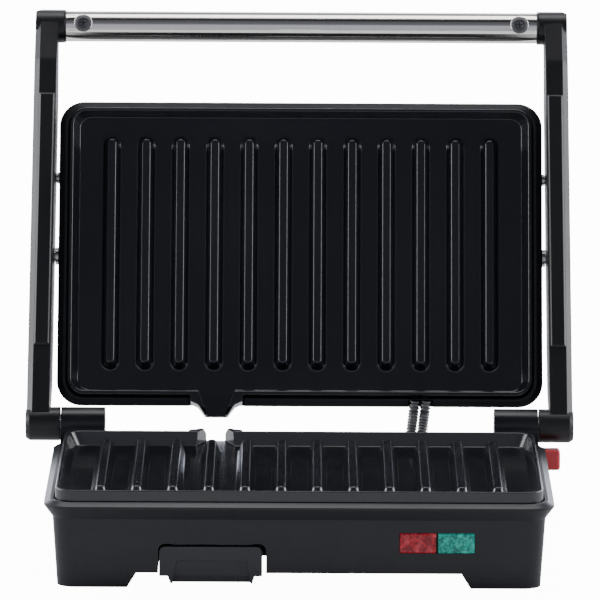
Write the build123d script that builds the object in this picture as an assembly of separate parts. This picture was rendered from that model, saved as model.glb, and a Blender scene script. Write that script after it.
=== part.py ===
from build123d import *
import math
import os

# Panini press, modelled open as it stands on a table. Millimetres.
# +X is to the right of the person using it, +Y runs back to the hinge and +Z is up.
# Everything is laid out about the middle of the lower grill plate, on the table's surface.
# The lid is laid out shut over the base and then turned open about the hinge axis.
# At the end all pieces move forward together, so that the origin of the written files is on
# the table under the middle of the open press's outline.

# ---- overall ----
PLATE_WIDTH = 241.5
PLATE_DEPTH = 153.0
PLATE_RIM_Z = 50.0  # top of the lower plate's wall, above the table
OPEN_ANGLE = 112.5  # lid opening at rest, 0 is closed and 180 lies flat
PLATE_GAP = 5.6  # between the two plate rims when the press is shut

# ---- grill plates ----
PLATE_RADIUS = 9.0
PLATE_POOL = 7.2  # cooking floor below the rim
PLATE_FLOOR = 3.0
FLOOR_SIDE_INSET = 5.25  # from the plate's side to where its floor starts
FLOOR_END_INSET = 3.5
FLOOR_RADIUS_INSET = 3.0
RIM_LIP = 1.8  # flat top of the plate's outer wall
RIM_LIP_ROUNDING = 0.54
RIB_PITCH = 17.95
RIB_SIDE_MARGIN = 10.0  # least floor outside the last rib
RIB_END_MARGIN = 10.0
RIB_FOOT = 10.6
RIB_CREST = 2.4
RIB_HEIGHT = 6.2
SPOUT_X = -43.2
SPOUT_SHOULDER = 27.0
SPOUT_MOUTH = 21.0
SPOUT_TIP = 11.6
SPOUT_WALL = 1.5
SPOUT_REACH = 10.5  # beyond the plate's rear wall
SPOUT_OVERLAP = 6.0  # how far the spout's block reaches into the plate
SPOUT_SHOULDER_REACH = 3.6
SPOUT_KNEE_REACH = 5.4
SPOUT_TIP_DROP = 4.5
BOSS_RADIUS = 4.5
BOSS_LENGTH = 6.4
BOSS_SIDE_INSET = 16.75
BOSS_END_INSET = 16.5
BOSS_HOLE_ROOF = 0.8

# ---- base housing ----
WALL = 2.4
RIM_RADIUS = 13.0
RIM_SIDE_BORDER = 5.55  # the base's flange and the lid's rim stand out this far round the plates
RIM_END_BORDER = 4.7
BODY_SIDE_INSET = 4.3  # the body below the flange stands back from it
BODY_END_INSET = 3.4
BODY_TAPER = 2.2  # each wall leans in this far from the flange to the table
BODY_RADIUS = 9.0
BODY_TOP_Z = 35.8
FLANGE_LOW_Z = 41.4
FLANGE_HIGH_Z = 42.6
FLANGE_CREST_Z = 44.4
FLANGE_CREST_INSET = 3.1
PLATE_FLOAT = 0.5  # the plate hangs on its bosses just clear of the housing's ledge
PLATE_CLEARANCE = 0.8
SKIRT_Z = 8.5
FOOT_GAP = 1.0  # the rubber pads hold the housing this far off the table
FOOT_WIDTH = 34.8
FOOT_SLOPE = 4.6
FOOT_LENGTH = 27.0
PAD_RADIUS = 7.5
PAD_SIDE_INSET = 15.8
PAD_FRONT_INSET = 14.6
PAD_REAR_INSET = 8.6  # middle of each rear pad, before the back of its leg
PAD_SEAT = 1.6
PAD_CHAMFER = 0.4

# ---- hinge ----
HINGE_SETBACK = 15.8  # axis behind the body's rear wall
HINGE_Z = 50.0
BARREL_RADIUS = 8.7
LUG_SIDE_INSET = 3.1  # outer end of each base barrel, in from the rim's side
LUG_WIDTH = 22.7
LEG_REACH = 9.0  # each lug runs down to the table as a leg that stands back past the hinge axis
HINGE_SIDE_GAP = 0.5
HINGE_PIN_RADIUS = 3.0
HINGE_PIN_SETBACK = 1.5
HINGE_PIN_REACH = 14.0
HINGE_PIN_END_GAP = 0.3
HINGE_PIN_CHAMFER = 0.4
RUNNING_CLEARANCE = 0.05

# ---- drip tray and its tunnel ----
TRAY_CENTRE_X = -43.6
TRAY_WIDTH = 51.0
TRAY_REAR_GAP = 2.6  # the tray's rear edge stops this far before the hinge axis
TRAY_PANEL_LOW_Z = 6.9
TRAY_PANEL_HIGH_Z = 21.9
TRAY_PANEL_THICKNESS = 5.0
TRAY_SETBACK = 0.4
TRAY_LIP_Z = 3.2
TRAY_LIP_INSET = (4.2, 3.8)  # left and right, where the lip leaves the panel
TRAY_LIP_TAPER = (1.4, 1.2)
TRAY_RECESS_INSET = (6.4, 5.6)
TRAY_RECESS_TAPER = (2.2, 2.0)
TRAY_RECESS_HIGH_Z = 14.6
TRAY_WALL = 1.5
TRAY_SIDE_CLEARANCE = 0.4
TRAY_RAIL_CLEARANCE = 0.2
TRAY_CORNER = 2.8
TRAY_FLOOR_RADIUS = 2.4
TUNNEL_LEFT_GAP = 0.5
TUNNEL_RIGHT_GAP = 1.9
TUNNEL_ROOF_Z = 23.4
TUNNEL_WALL = 1.8
TUNNEL_CORNER = 3.4
COVER_LOW_Z = 9.6
COVER_THICKNESS = 2.0
COVER_SCREW_SINK = 0.8
RAIL_Z = 15.0
RAIL_DEPTH = 3.2
RAIL_HEIGHT = 1.6
RAIL_SETBACK = 8.0
RAIL_END_SETBACK = 5.6  # where the tray's side flanges stop, before the body's rear
VENT_COUNT = 5
VENT_X = 20.0
VENT_PITCH = 12.0
VENT_LENGTH = 50.0
VENT_WIDTH = 3.0

# ---- lamps ----
LAMP_WIDTH = 18.4
LAMP_HEIGHT = 10.4
LAMP_LEFT_X = 49.6
LAMP_GAP = 0.6
LAMP_LOW_Z = 19.0
LENS_CLEARANCE = 0.15
LENS_THICKNESS = 3.4
LENS_PROUD = 0.5
LENS_CHAMFER = 0.5
HOLDER_DEPTH = 9.0
HOLDER_WALL = 1.6
HOLDER_BACK = 1.2
BULB_RADIUS = 2.2
BULB_LENGTH = 11.0
BULB_GAP = 0.6

# ---- lid ----
LID_SEAM = 6.4  # height of the lid's rim frame
LID_CREST = 5.4  # how far the plate stands proud of the lid's rim
LID_RIM_RISE = 2.0
LID_HEIGHT = 38.4  # plate rim to the top of the cover
LID_SIDE_TAPER = 8.3  # each side of the cover leans in this far
LID_END_TAPER = 8.2
LID_CROWN_RADIUS = 7.0
LID_WALL = 2.2
FRAME_BAR = 5.0
TAB_HALF = 7.0
TAB_THICKNESS = 2.4
TAB_WEB = 1.5
COVER_SCREW_SHARE = 0.267  # of the free side room, between the centre pin's post and the screw's tab
LID_SCREW_LENGTH = 10.0
PIVOT_OFFSET = 0.4  # centre pins in front of the plate's middle
PIVOT_RISE = 23.0  # above the hinge axis when shut
LIMIT_PIN_SHARE = 0.241  # of the free side room, between the limit pin's post and the plate's tab
TILT_LIMIT = 2.5
BOSS_PIN_RADIUS = 4.5
LIMIT_BOSS_RADIUS = 3.0
LIMIT_SHOULDER = 0.6
PIVOT_JOURNAL_RADIUS = 3.0
JOURNAL_DEPTH = 7.0
JOURNAL_END_GAP = 0.6
PIN_SIDE_GAP = 0.4
PIN_POST_WALL = 3.0
PIN_POST_DEPTH = 9.0

# ---- handle frame ----
ARM_SIDE_GAP = 3.1  # between the lid's rim and the arm at its foot
ARM_FOOT_THICKNESS = 11.8
ARM_LEAN = 2.0  # how far each arm leans in over its length
HANDLE_REACH = 39.6  # tube axis beyond the rim's edge
TUBE_RISE = 8.0
TUBE_RADIUS = 8.0
TUBE_WALL = 1.2
TUBE_END_INSET = 5.9  # from the arm's inner face at its foot
COLLAR_WIDTH = 0.8
SOCKET_LIP = 0.7  # socket and collars stand out from the tube
SOCKET_SPIGOT_RADIUS = 4.0
SPIGOT_LENGTH = 5.5
ARM_FRONT = -7.5  # front face of the arm, below the hinge axis when shut
ARM_BACK = 31.0
ARM_BACK_START = 26.0
ARM_BACK_END_GAP = 36.4  # where the arm's back starts to fall to the tube
ARM_FRONT_END_GAP = 22.4
SHOULDER_RADIUS = 14.0
ARM_CHAMFER = 3.0
ARM_TOP_CHAMFER = 2.2
BARREL_END_PROUD = 0.4
BARREL_CHAMFER = (2.2, 1.4)
STRIP_START = 40.0
STRIP_END_GAP = 39.9
STRIP_THICKNESS = 1.6
STRIP_INSET = 0.6
STRIP_CHAMFER = 0.96
DIMPLE_INSET = 9.2  # from the tube's end
DIMPLE_LENGTH = 11.0
DIMPLE_DEPTH = 1.6
DIMPLE_FLOOR = 1.2
PLUG_INSET = 9.0
PLUG_CLEARANCE = 0.05
HANDLE_SCREW_RADIUS = 1.6
HANDLE_SCREW_HEAD_RADIUS = 3.3
HANDLE_SCREW_HEAD = 1.3
HANDLE_SCREW_ROUNDING = 0.7

# ---- release button, below the hinge ----
BUTTON_SETBACK = 10.0  # in front of the hinge axis
BUTTON_DROP = 15.4
BUTTON_DEPTH = 9.6
BUTTON_HEIGHT = 10.2
BUTTON_PROUD = 11.4  # cap's face beyond the base barrel's end
BUTTON_ROUNDING = 1.6
BUTTON_TRAVEL = 4.0
BUTTON_CLEARANCE = 0.35
BUTTON_COLLAR = 1.2  # how far the collar that keeps it in stands out all round
BUTTON_COLLAR_THICKNESS = 2.0
BUTTON_MOUTH = 2.2  # thickness of the wall that the collar rests against
BUTTON_POCKET = 12.0
BUTTON_STEM_RADIUS = 2.0
BUTTON_STEM_LENGTH = 14.0
SPRING_WIRE = 0.4
SPRING_TURNS = 5
SPRING_GAP = 0.2
SPRING_BORE_GAP = 1.4

# ---- wiring conduits between base and lid ----
CONDUIT_RADIUS = 2.8
CONDUIT_SPACING = 5.7
CONDUIT_BASE_X = 58.6
CONDUIT_LID_X = 62.8
CONDUIT_BASE_Z = 29.0
CONDUIT_BEND = 14.0
CONDUIT_GAP = 0.4
NOTCH_DROP = 1.4  # the notch's roof below the lid's seam
GROMMET_WALL = 0.8
GROMMET_INSET = 3.0
GROMMET_PROUD = 1.8

# ---- heating ----
ELEMENT_RADIUS = 3.2
ELEMENT_SIDE_INSET = 32.75
ELEMENT_END_INSET = 28.5
ELEMENT_BEND = 12.0
ELEMENT_ENDS_X = (18.0, 44.0)
TERMINAL_LENGTH = 7.0
TERMINAL_RADIUS = 1.2
CLIP_X = 55.0
CLIP_WIDTH = 8.0
CLIP_THICKNESS = 0.8
CLIP_EAR = 5.0
REFLECTOR_THICKNESS = 0.6
REFLECTOR_HEIGHT = 4.0
REFLECTOR_RADIUS = 14.0
REFLECTOR_SIDE_INSET = 25.75
REFLECTOR_END_INSET = 15.5
REFLECTOR_DROP = 8.8  # below the plate's underside
THERMOSTAT_RADIUS = 8.0
THERMOSTAT_HEIGHT = 8.5
THERMOSTAT_GAP = 2.0
TAG_REACH = (7.0, 11.0)
TAG_WIDTH = 5.0
TAG_THICKNESS = 0.8
FUSE_RADIUS = 2.0
FUSE_LENGTH = 24.0
FUSE_LEAD_RADIUS = 0.6
FUSE_LEAD_LENGTH = 40.0
FUSE_Y = -22.0

# ---- fastenings and fittings inside the base ----
SCREW_RADIUS = 1.9
SCREW_HEAD_RADIUS = 3.6
SCREW_HEAD_HEIGHT = 2.2
SCREW_HEAD_ROUNDING = 0.8
SCREW_TIP_GAP = 0.4
RECESS_HALF_LENGTH = 1.8
RECESS_HALF_WIDTH = 0.4
RECESS_DEPTH = 1.2
HOLE_CLEARANCE = 0.3
FIT_CLEARANCE = 0.3
POST_SIDE_INSET = 13.0
POST_Y = 30.0
POST_RADIUS = 4.0
POST_RIB = 2.4
POST_TOP_Z = 27.0
GLAND_X = 20.0
GLAND_Z = 24.0
GLAND_BODY_RADIUS = 6.0
GLAND_BORE_RADIUS = 3.6
GLAND_PROUD = 3.2
GLAND_FLANGE = (2.2, 2.6)  # how far it stands out all round, and how thick it is
GLAND_INSIDE = 3.0
BLOCK_X = (26.0, 50.0)
BLOCK_DEPTH = 12.0
BLOCK_REAR_INSET = 7.6
BLOCK_HEIGHT = 11.0
BLOCK_POLES = 3
BLOCK_WIRE_RADIUS = 1.6
BLOCK_SCREW_RADIUS = 1.4
BLOCK_WIRE_Z = 4.0

# ---- sizes that follow from the ones above ----
RIM_WIDTH = PLATE_WIDTH + 2 * RIM_SIDE_BORDER
RIM_DEPTH = PLATE_DEPTH + 2 * RIM_END_BORDER
FLOOR_WIDTH = PLATE_WIDTH - 2 * FLOOR_SIDE_INSET
FLOOR_DEPTH = PLATE_DEPTH - 2 * FLOOR_END_INSET
RIB_COUNT = int((FLOOR_WIDTH - RIB_FOOT - 2 * RIB_SIDE_MARGIN) / RIB_PITCH) + 1
RIB_LENGTH = FLOOR_DEPTH - 2 * RIB_END_MARGIN
BOSS_X = PLATE_WIDTH / 2 - BOSS_SIDE_INSET
BOSS_Y = PLATE_DEPTH / 2 - BOSS_END_INSET
BODY_TOP_WIDTH = RIM_WIDTH - 2 * BODY_SIDE_INSET
BODY_TOP_DEPTH = RIM_DEPTH - 2 * BODY_END_INSET
BODY_FOOT_WIDTH = BODY_TOP_WIDTH - 2 * BODY_TAPER
BODY_FOOT_DEPTH = BODY_TOP_DEPTH - 2 * BODY_TAPER
FOOT_INNER_X = BODY_FOOT_WIDTH / 2 - FOOT_WIDTH
POST_X = BODY_TOP_WIDTH / 2 - POST_SIDE_INSET
HINGE_Y = BODY_TOP_DEPTH / 2 + HINGE_SETBACK
LUG_OUTER_X = RIM_WIDTH / 2 - LUG_SIDE_INSET
LUG_INNER_X = LUG_OUTER_X - LUG_WIDTH
FRONT_PAD = (BODY_FOOT_WIDTH / 2 - PAD_SIDE_INSET, PAD_FRONT_INSET - BODY_FOOT_DEPTH / 2)
REAR_PAD = ((LUG_INNER_X + LUG_OUTER_X) / 2, HINGE_Y + LEG_REACH - PAD_REAR_INSET)
PAD_PLACES = [(side * x, y) for side in (-1, 1) for x, y in (FRONT_PAD, REAR_PAD)]
TRAY_LEFT_X = TRAY_CENTRE_X - TRAY_WIDTH / 2
TRAY_RIGHT_X = TRAY_CENTRE_X + TRAY_WIDTH / 2
TRAY_REAR_Y = HINGE_Y - TRAY_REAR_GAP
TUNNEL_LEFT_X = TRAY_LEFT_X - TUNNEL_LEFT_GAP
TUNNEL_RIGHT_X = TRAY_RIGHT_X + TUNNEL_RIGHT_GAP
RAIL_END_Y = BODY_FOOT_DEPTH / 2 - RAIL_END_SETBACK
LAMPS_RIGHT_X = LAMP_LEFT_X + 2 * LAMP_WIDTH + LAMP_GAP
LID_TOP_WIDTH = RIM_WIDTH - 2 * LID_SIDE_TAPER
LID_TOP_DEPTH = RIM_DEPTH - 2 * LID_END_TAPER
PIVOT_POST_RADIUS = BOSS_PIN_RADIUS + PIN_POST_WALL
LIMIT_POST_RADIUS = LIMIT_BOSS_RADIUS + PIN_POST_WALL
SIDE_LENGTH = BOSS_Y - TAB_HALF - PIVOT_OFFSET - PIVOT_POST_RADIUS
SIDE_ROOM = SIDE_LENGTH - 2 * TAB_HALF - 2 * LIMIT_POST_RADIUS
COVER_SCREW_Y = PIVOT_OFFSET + PIVOT_POST_RADIUS + COVER_SCREW_SHARE * SIDE_ROOM + TAB_HALF
LIMIT_SPACING = SIDE_LENGTH + PIVOT_POST_RADIUS - LIMIT_PIN_SHARE * SIDE_ROOM - LIMIT_POST_RADIUS
PIVOT_DISTANCE = HINGE_Y + PIVOT_OFFSET
LIMIT_DISTANCE = PIVOT_DISTANCE + LIMIT_SPACING
TUBE_DISTANCE = HINGE_Y + RIM_DEPTH / 2 + HANDLE_REACH
ARM_FOOT_INNER_X = RIM_WIDTH / 2 + ARM_SIDE_GAP
ARM_FOOT_OUTER_X = ARM_FOOT_INNER_X + ARM_FOOT_THICKNESS
TUBE_HALF_LENGTH = ARM_FOOT_INNER_X - TUBE_END_INSET
SOCKET_INNER_X = TUBE_HALF_LENGTH + COLLAR_WIDTH
SOCKET_RADIUS = TUBE_RADIUS + SOCKET_LIP
DIMPLE_X = TUBE_HALF_LENGTH - DIMPLE_INSET
ARM_BACK_END = TUBE_DISTANCE - ARM_BACK_END_GAP
ARM_FRONT_END = TUBE_DISTANCE - ARM_FRONT_END_GAP
STRIP_END = TUBE_DISTANCE - STRIP_END_GAP
BUTTON_Y = HINGE_Y - BUTTON_SETBACK
BUTTON_Z = HINGE_Z - BUTTON_DROP
BUTTON_FACE_X = LUG_OUTER_X + BUTTON_PROUD
GROMMET_RADIUS = CONDUIT_RADIUS + GROMMET_WALL
ELEMENT_X = PLATE_WIDTH / 2 - ELEMENT_SIDE_INSET
ELEMENT_Y = PLATE_DEPTH / 2 - ELEMENT_END_INSET
REFLECTOR_WIDTH = PLATE_WIDTH - 2 * REFLECTOR_SIDE_INSET
REFLECTOR_DEPTH = PLATE_DEPTH - 2 * REFLECTOR_END_INSET
FLOOR_Z = PLATE_RIM_Z - PLATE_POOL
PLATE_UNDER_Z = FLOOR_Z - PLATE_FLOOR
SEAT_Z = PLATE_UNDER_Z - PLATE_FLOAT
TAB_TOP_Z = PLATE_UNDER_Z - BOSS_LENGTH
SHUT_MIDDLE_Z = PLATE_RIM_Z + PLATE_GAP / 2
LID_RIM_Z = PLATE_RIM_Z + PLATE_GAP
LID_CREST_Z = LID_RIM_Z + LID_CREST
LID_TOP_Z = LID_RIM_Z + LID_HEIGHT
LID_SEAM_Z = LID_CREST_Z + LID_SEAM
LID_EDGE_Z = LID_CREST_Z + LID_RIM_RISE + 1.0
NOTCH_Z = LID_SEAM_Z - NOTCH_DROP
UPPER_SEAT_Z = 2 * SHUT_MIDDLE_Z - SEAT_Z
UPPER_TAB_Z = 2 * SHUT_MIDDLE_Z - TAB_TOP_Z
COVER_TOP_Z = COVER_LOW_Z + COVER_THICKNESS
HINGE = Axis((0, HINGE_Y, HINGE_Z), (1, 0, 0))

pieces = {}


def keep(name, shape):
    """Keep one node's solids under its name, to be written at the end."""
    pieces[name] = Compound(children=list(shape.solids()))


def opened(shape):
    """Turn a piece that is laid out shut to its place on the open lid."""
    return shape.rotate(HINGE, -OPEN_ANGLE)


def mirrored(shape):
    """The same piece on the other side of the press."""
    return mirror(shape, Plane.YZ)


def rounded(width, depth, radius, z):
    """A level rounded rectangle about the middle of the press."""
    return Pos(0, 0, z) * RectangleRounded(width, depth, radius)


def frustum(low, high):
    """A solid between two level rounded rectangles, each (width, depth, radius, z)."""
    return loft([rounded(*low), rounded(*high)])


def block(x0, x1, y0, y1, z0, z1):
    """A box between two opposite corners."""
    return Pos((x0 + x1) / 2, (y0 + y1) / 2, (z0 + z1) / 2) * Box(x1 - x0, y1 - y0, z1 - z0)


def rod_x(radius, x0, x1, y, z):
    """A cylinder along X."""
    place = Plane(origin=(x0, y, z), x_dir=(0, 1, 0), z_dir=(1, 0, 0))
    return extrude(place * Circle(radius), x1 - x0)


def rod_y(radius, y0, y1, x, z):
    """A cylinder along Y."""
    place = Plane(origin=(x, y0, z), x_dir=(1, 0, 0), z_dir=(0, 1, 0))
    return extrude(place * Circle(radius), y1 - y0)


def rod_z(radius, z0, z1, x, y):
    """An upright cylinder."""
    return extrude(Pos(x, y, z0) * Circle(radius), z1 - z0)


def side_shape(points, x0, x1):
    """A prism along X from (y, z) points."""
    place = Plane(origin=(x0, 0, 0), x_dir=(0, 1, 0), z_dir=(1, 0, 0))
    return extrude(place * make_face(Polyline(*points, close=True)), x1 - x0)


def front_shape(points, y0, y1):
    """A prism along Y from (x, z) points."""
    place = Plane(origin=(0, y1, 0), x_dir=(1, 0, 0), z_dir=(0, -1, 0))
    return extrude(place * make_face(Polyline(*points, close=True)), y1 - y0)


def plan_shape(points, z0, z1):
    """An upright prism from (x, y) points."""
    return extrude(Pos(0, 0, z0) * make_face(Polyline(*points, close=True)), z1 - z0)


def corners(x, y):
    """The four places that mirror (x, y) about the middle."""
    return [(sx * x, sy * y) for sx in (-1, 1) for sy in (-1, 1)]


def spout_outline(shoulder, tip, rear):
    """A funnel in plan, narrowing to the rear."""
    wall_y = PLATE_DEPTH / 2
    knee = (shoulder + tip) / 4
    return [
        (SPOUT_X - shoulder / 2, wall_y - SPOUT_OVERLAP),
        (SPOUT_X + shoulder / 2, wall_y - SPOUT_OVERLAP),
        (SPOUT_X + shoulder / 2, wall_y + SPOUT_SHOULDER_REACH),
        (SPOUT_X + knee, wall_y + SPOUT_KNEE_REACH),
        (SPOUT_X + tip / 2, rear),
        (SPOUT_X - tip / 2, rear),
        (SPOUT_X - knee, wall_y + SPOUT_KNEE_REACH),
        (SPOUT_X - shoulder / 2, wall_y + SPOUT_SHOULDER_REACH),
    ]


# ---- lower grill plate ----
def grill_plate():
    """The lower casting: a shallow pan with a rear spout, tall ribs and four bosses."""
    spout_rear = PLATE_DEPTH / 2 + SPOUT_REACH
    base = rounded(PLATE_WIDTH, PLATE_DEPTH, PLATE_RADIUS, PLATE_UNDER_Z)
    outer = extrude(base, PLATE_RIM_Z - PLATE_UNDER_Z)
    outer = fillet(outer.faces().sort_by(Axis.Z)[-1].edges(), RIM_LIP_ROUNDING)
    spout = plan_shape(spout_outline(SPOUT_SHOULDER, SPOUT_TIP, spout_rear), PLATE_UNDER_Z, PLATE_RIM_Z)
    tip_slope = side_shape(
        [
            (PLATE_DEPTH / 2 + SPOUT_KNEE_REACH, PLATE_RIM_Z + 1),
            (spout_rear + 1, PLATE_RIM_Z + 1),
            (spout_rear + 1, PLATE_RIM_Z - SPOUT_TIP_DROP),
        ],
        SPOUT_X - SPOUT_SHOULDER,
        SPOUT_X + SPOUT_SHOULDER,
    )
    pool = frustum(
        (FLOOR_WIDTH, FLOOR_DEPTH, PLATE_RADIUS - FLOOR_RADIUS_INSET, FLOOR_Z),
        (
            PLATE_WIDTH - 2 * RIM_LIP,
            PLATE_DEPTH - 2 * RIM_LIP,
            PLATE_RADIUS - RIM_LIP,
            PLATE_RIM_Z,
        ),
    )
    mouth_y = FLOOR_DEPTH / 2 - 2
    tip_half = SPOUT_TIP / 2 - SPOUT_WALL
    channel = plan_shape(
        [
            (SPOUT_X - SPOUT_MOUTH / 2, mouth_y),
            (SPOUT_X + SPOUT_MOUTH / 2, mouth_y),
            (SPOUT_X + tip_half, spout_rear + 1),
            (SPOUT_X - tip_half, spout_rear + 1),
        ],
        FLOOR_Z,
        PLATE_RIM_Z + 1,
    )
    plate = outer + (spout - tip_slope) - pool - channel
    for number in range(RIB_COUNT):
        x = (number - (RIB_COUNT - 1) / 2) * RIB_PITCH
        slope = RIB_FOOT - RIB_CREST
        foot = Pos(x, 0, FLOOR_Z) * Rot(0, 0, 90) * SlotOverall(RIB_LENGTH, RIB_FOOT)
        crest = SlotOverall(RIB_LENGTH - slope, RIB_CREST)
        plate += loft([foot, Pos(x, 0, FLOOR_Z + RIB_HEIGHT) * Rot(0, 0, 90) * crest])
    for x, y in corners(BOSS_X, BOSS_Y):
        plate += rod_z(BOSS_RADIUS, TAB_TOP_Z, PLATE_UNDER_Z, x, y)
        plate -= rod_z(SCREW_RADIUS, TAB_TOP_Z, PLATE_UNDER_Z - BOSS_HOLE_ROOF, x, y)
    return plate


def cross_recess(x, y, low_z):
    """The cross that a screwdriver turns, cut up into a head from its face."""
    long, short = RECESS_HALF_LENGTH, RECESS_HALF_WIDTH
    cross = block(x - long, x + long, y - short, y + short, low_z, low_z + RECESS_DEPTH)
    return cross + block(x - short, x + short, y - long, y + long, low_z, low_z + RECESS_DEPTH)


def upright_screw(x, y, seat_z, length):
    """A pan-head screw with a cross recess, driven upwards, its head under seat_z."""
    head_low = seat_z - SCREW_HEAD_HEIGHT
    head = rod_z(SCREW_HEAD_RADIUS, head_low, seat_z, x, y)
    head = fillet(head.faces().sort_by(Axis.Z)[0].edges(), SCREW_HEAD_ROUNDING)
    shank = rod_z(SCREW_RADIUS, seat_z, seat_z + length, x, y)
    return head + shank - cross_recess(x, y, head_low)


plate = grill_plate()
keep("lower_grill_plate", plate)
flip = Plane(origin=(0, 0, SHUT_MIDDLE_Z), z_dir=(0, 0, 1))
keep("upper_grill_plate", opened(mirror(plate, flip)))


def upper(shape):
    """The upper half's copy of a lower piece, in its place on the open lid."""
    return opened(mirror(shape, flip))


plate_screw_length = TAB_THICKNESS + BOSS_LENGTH - BOSS_HOLE_ROOF - SCREW_TIP_GAP
lower_screws = [
    upright_screw(x, y, TAB_TOP_Z - TAB_THICKNESS, plate_screw_length) for x, y in corners(BOSS_X, BOSS_Y)
]
keep("lower_plate_screws", Compound(children=lower_screws))
keep("upper_plate_screws", upper(Compound(children=lower_screws)))


# ---- heating elements, clips and reflectors ----
element_z = PLATE_UNDER_Z - ELEMENT_RADIUS


def heating_element():
    """A sheathed rod bent round under the plate, with a terminal pin at each end."""
    left_end, right_end = ELEMENT_ENDS_X
    route = FilletPolyline(
        (left_end, ELEMENT_Y, element_z),
        (-ELEMENT_X, ELEMENT_Y, element_z),
        (-ELEMENT_X, -ELEMENT_Y, element_z),
        (ELEMENT_X, -ELEMENT_Y, element_z),
        (ELEMENT_X, ELEMENT_Y, element_z),
        (right_end, ELEMENT_Y, element_z),
        radius=ELEMENT_BEND,
    )
    element = sweep(Plane(route @ 0, z_dir=route % 0) * Circle(ELEMENT_RADIUS), route)
    for low_x in (left_end - 1, right_end - TERMINAL_LENGTH):
        element += rod_x(TERMINAL_RADIUS, low_x, low_x + TERMINAL_LENGTH + 1, ELEMENT_Y, element_z)
    return element


def element_clip(x, y):
    """A sheet strap round the rod, with two ears that lie against the plate."""
    low_x = x - CLIP_WIDTH / 2
    high_x = x + CLIP_WIDTH / 2
    outer = ELEMENT_RADIUS + CLIP_THICKNESS
    strap = rod_x(outer, low_x, high_x, y, element_z)
    strap -= rod_x(ELEMENT_RADIUS, low_x - 1, high_x + 1, y, element_z)
    upper_half = block(low_x - 1, high_x + 1, y - outer - 1, y + outer + 1, element_z, element_z + 2 * outer)
    strap -= upper_half
    for side in (-1, 1):
        inner_y = y + side * ELEMENT_RADIUS
        low_y, high_y = sorted((inner_y, y + side * outer))
        strap += block(low_x, high_x, low_y, high_y, element_z, PLATE_UNDER_Z)
        low_y, high_y = sorted((inner_y, inner_y + side * CLIP_EAR))
        strap += block(low_x, high_x, low_y, high_y, PLATE_UNDER_Z - CLIP_THICKNESS, PLATE_UNDER_Z)
    return strap


element = heating_element()
keep("lower_heating_element", element)
keep("upper_heating_element", upper(element))
clips = Compound(children=[element_clip(x, y) for x, y in corners(CLIP_X, ELEMENT_Y)])
keep("lower_element_clips", clips)
keep("upper_element_clips", upper(clips))

reflector_low_z = PLATE_UNDER_Z - REFLECTOR_DROP - REFLECTOR_THICKNESS
pan = rounded(REFLECTOR_WIDTH, REFLECTOR_DEPTH, REFLECTOR_RADIUS, reflector_low_z)
pan_inside = rounded(
    REFLECTOR_WIDTH - 2 * REFLECTOR_THICKNESS,
    REFLECTOR_DEPTH - 2 * REFLECTOR_THICKNESS,
    REFLECTOR_RADIUS - REFLECTOR_THICKNESS,
    reflector_low_z + REFLECTOR_THICKNESS,
)
reflector = extrude(pan, REFLECTOR_HEIGHT) - extrude(pan_inside, REFLECTOR_HEIGHT)
thermostat_hole = rod_z(THERMOSTAT_RADIUS + THERMOSTAT_GAP, reflector_low_z - 1, reflector_low_z + 5, 0, 0)
keep("lower_reflector", reflector - thermostat_hole)
keep("upper_reflector", upper(reflector))

thermostat_low_z = PLATE_UNDER_Z - THERMOSTAT_HEIGHT
thermostat = rod_z(THERMOSTAT_RADIUS, thermostat_low_z, PLATE_UNDER_Z, 0, 0)
for side in (-1, 1):
    low_x, high_x = sorted(side * reach for reach in TAG_REACH)
    thermostat += block(
        low_x, high_x, -TAG_WIDTH / 2, TAG_WIDTH / 2, thermostat_low_z, thermostat_low_z + TAG_THICKNESS
    )
keep("thermostat", thermostat)

fuse_z = PLATE_UNDER_Z - FUSE_RADIUS
fuse = rod_x(FUSE_RADIUS, -FUSE_LENGTH / 2, FUSE_LENGTH / 2, FUSE_Y, fuse_z)
fuse += rod_x(FUSE_LEAD_RADIUS, -FUSE_LEAD_LENGTH / 2, FUSE_LEAD_LENGTH / 2, FUSE_Y, fuse_z)
keep("lower_thermal_fuse", fuse)
keep("upper_thermal_fuse", upper(fuse))


# ---- base housing ----
def body_half_width(z):
    """From the middle to the tapered body's side at a height."""
    return BODY_FOOT_WIDTH / 2 + BODY_TAPER * z / BODY_TOP_Z


def body_half_depth(z):
    """From the middle to the tapered body's front or rear at a height."""
    return BODY_FOOT_DEPTH / 2 + BODY_TAPER * z / BODY_TOP_Z


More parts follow.
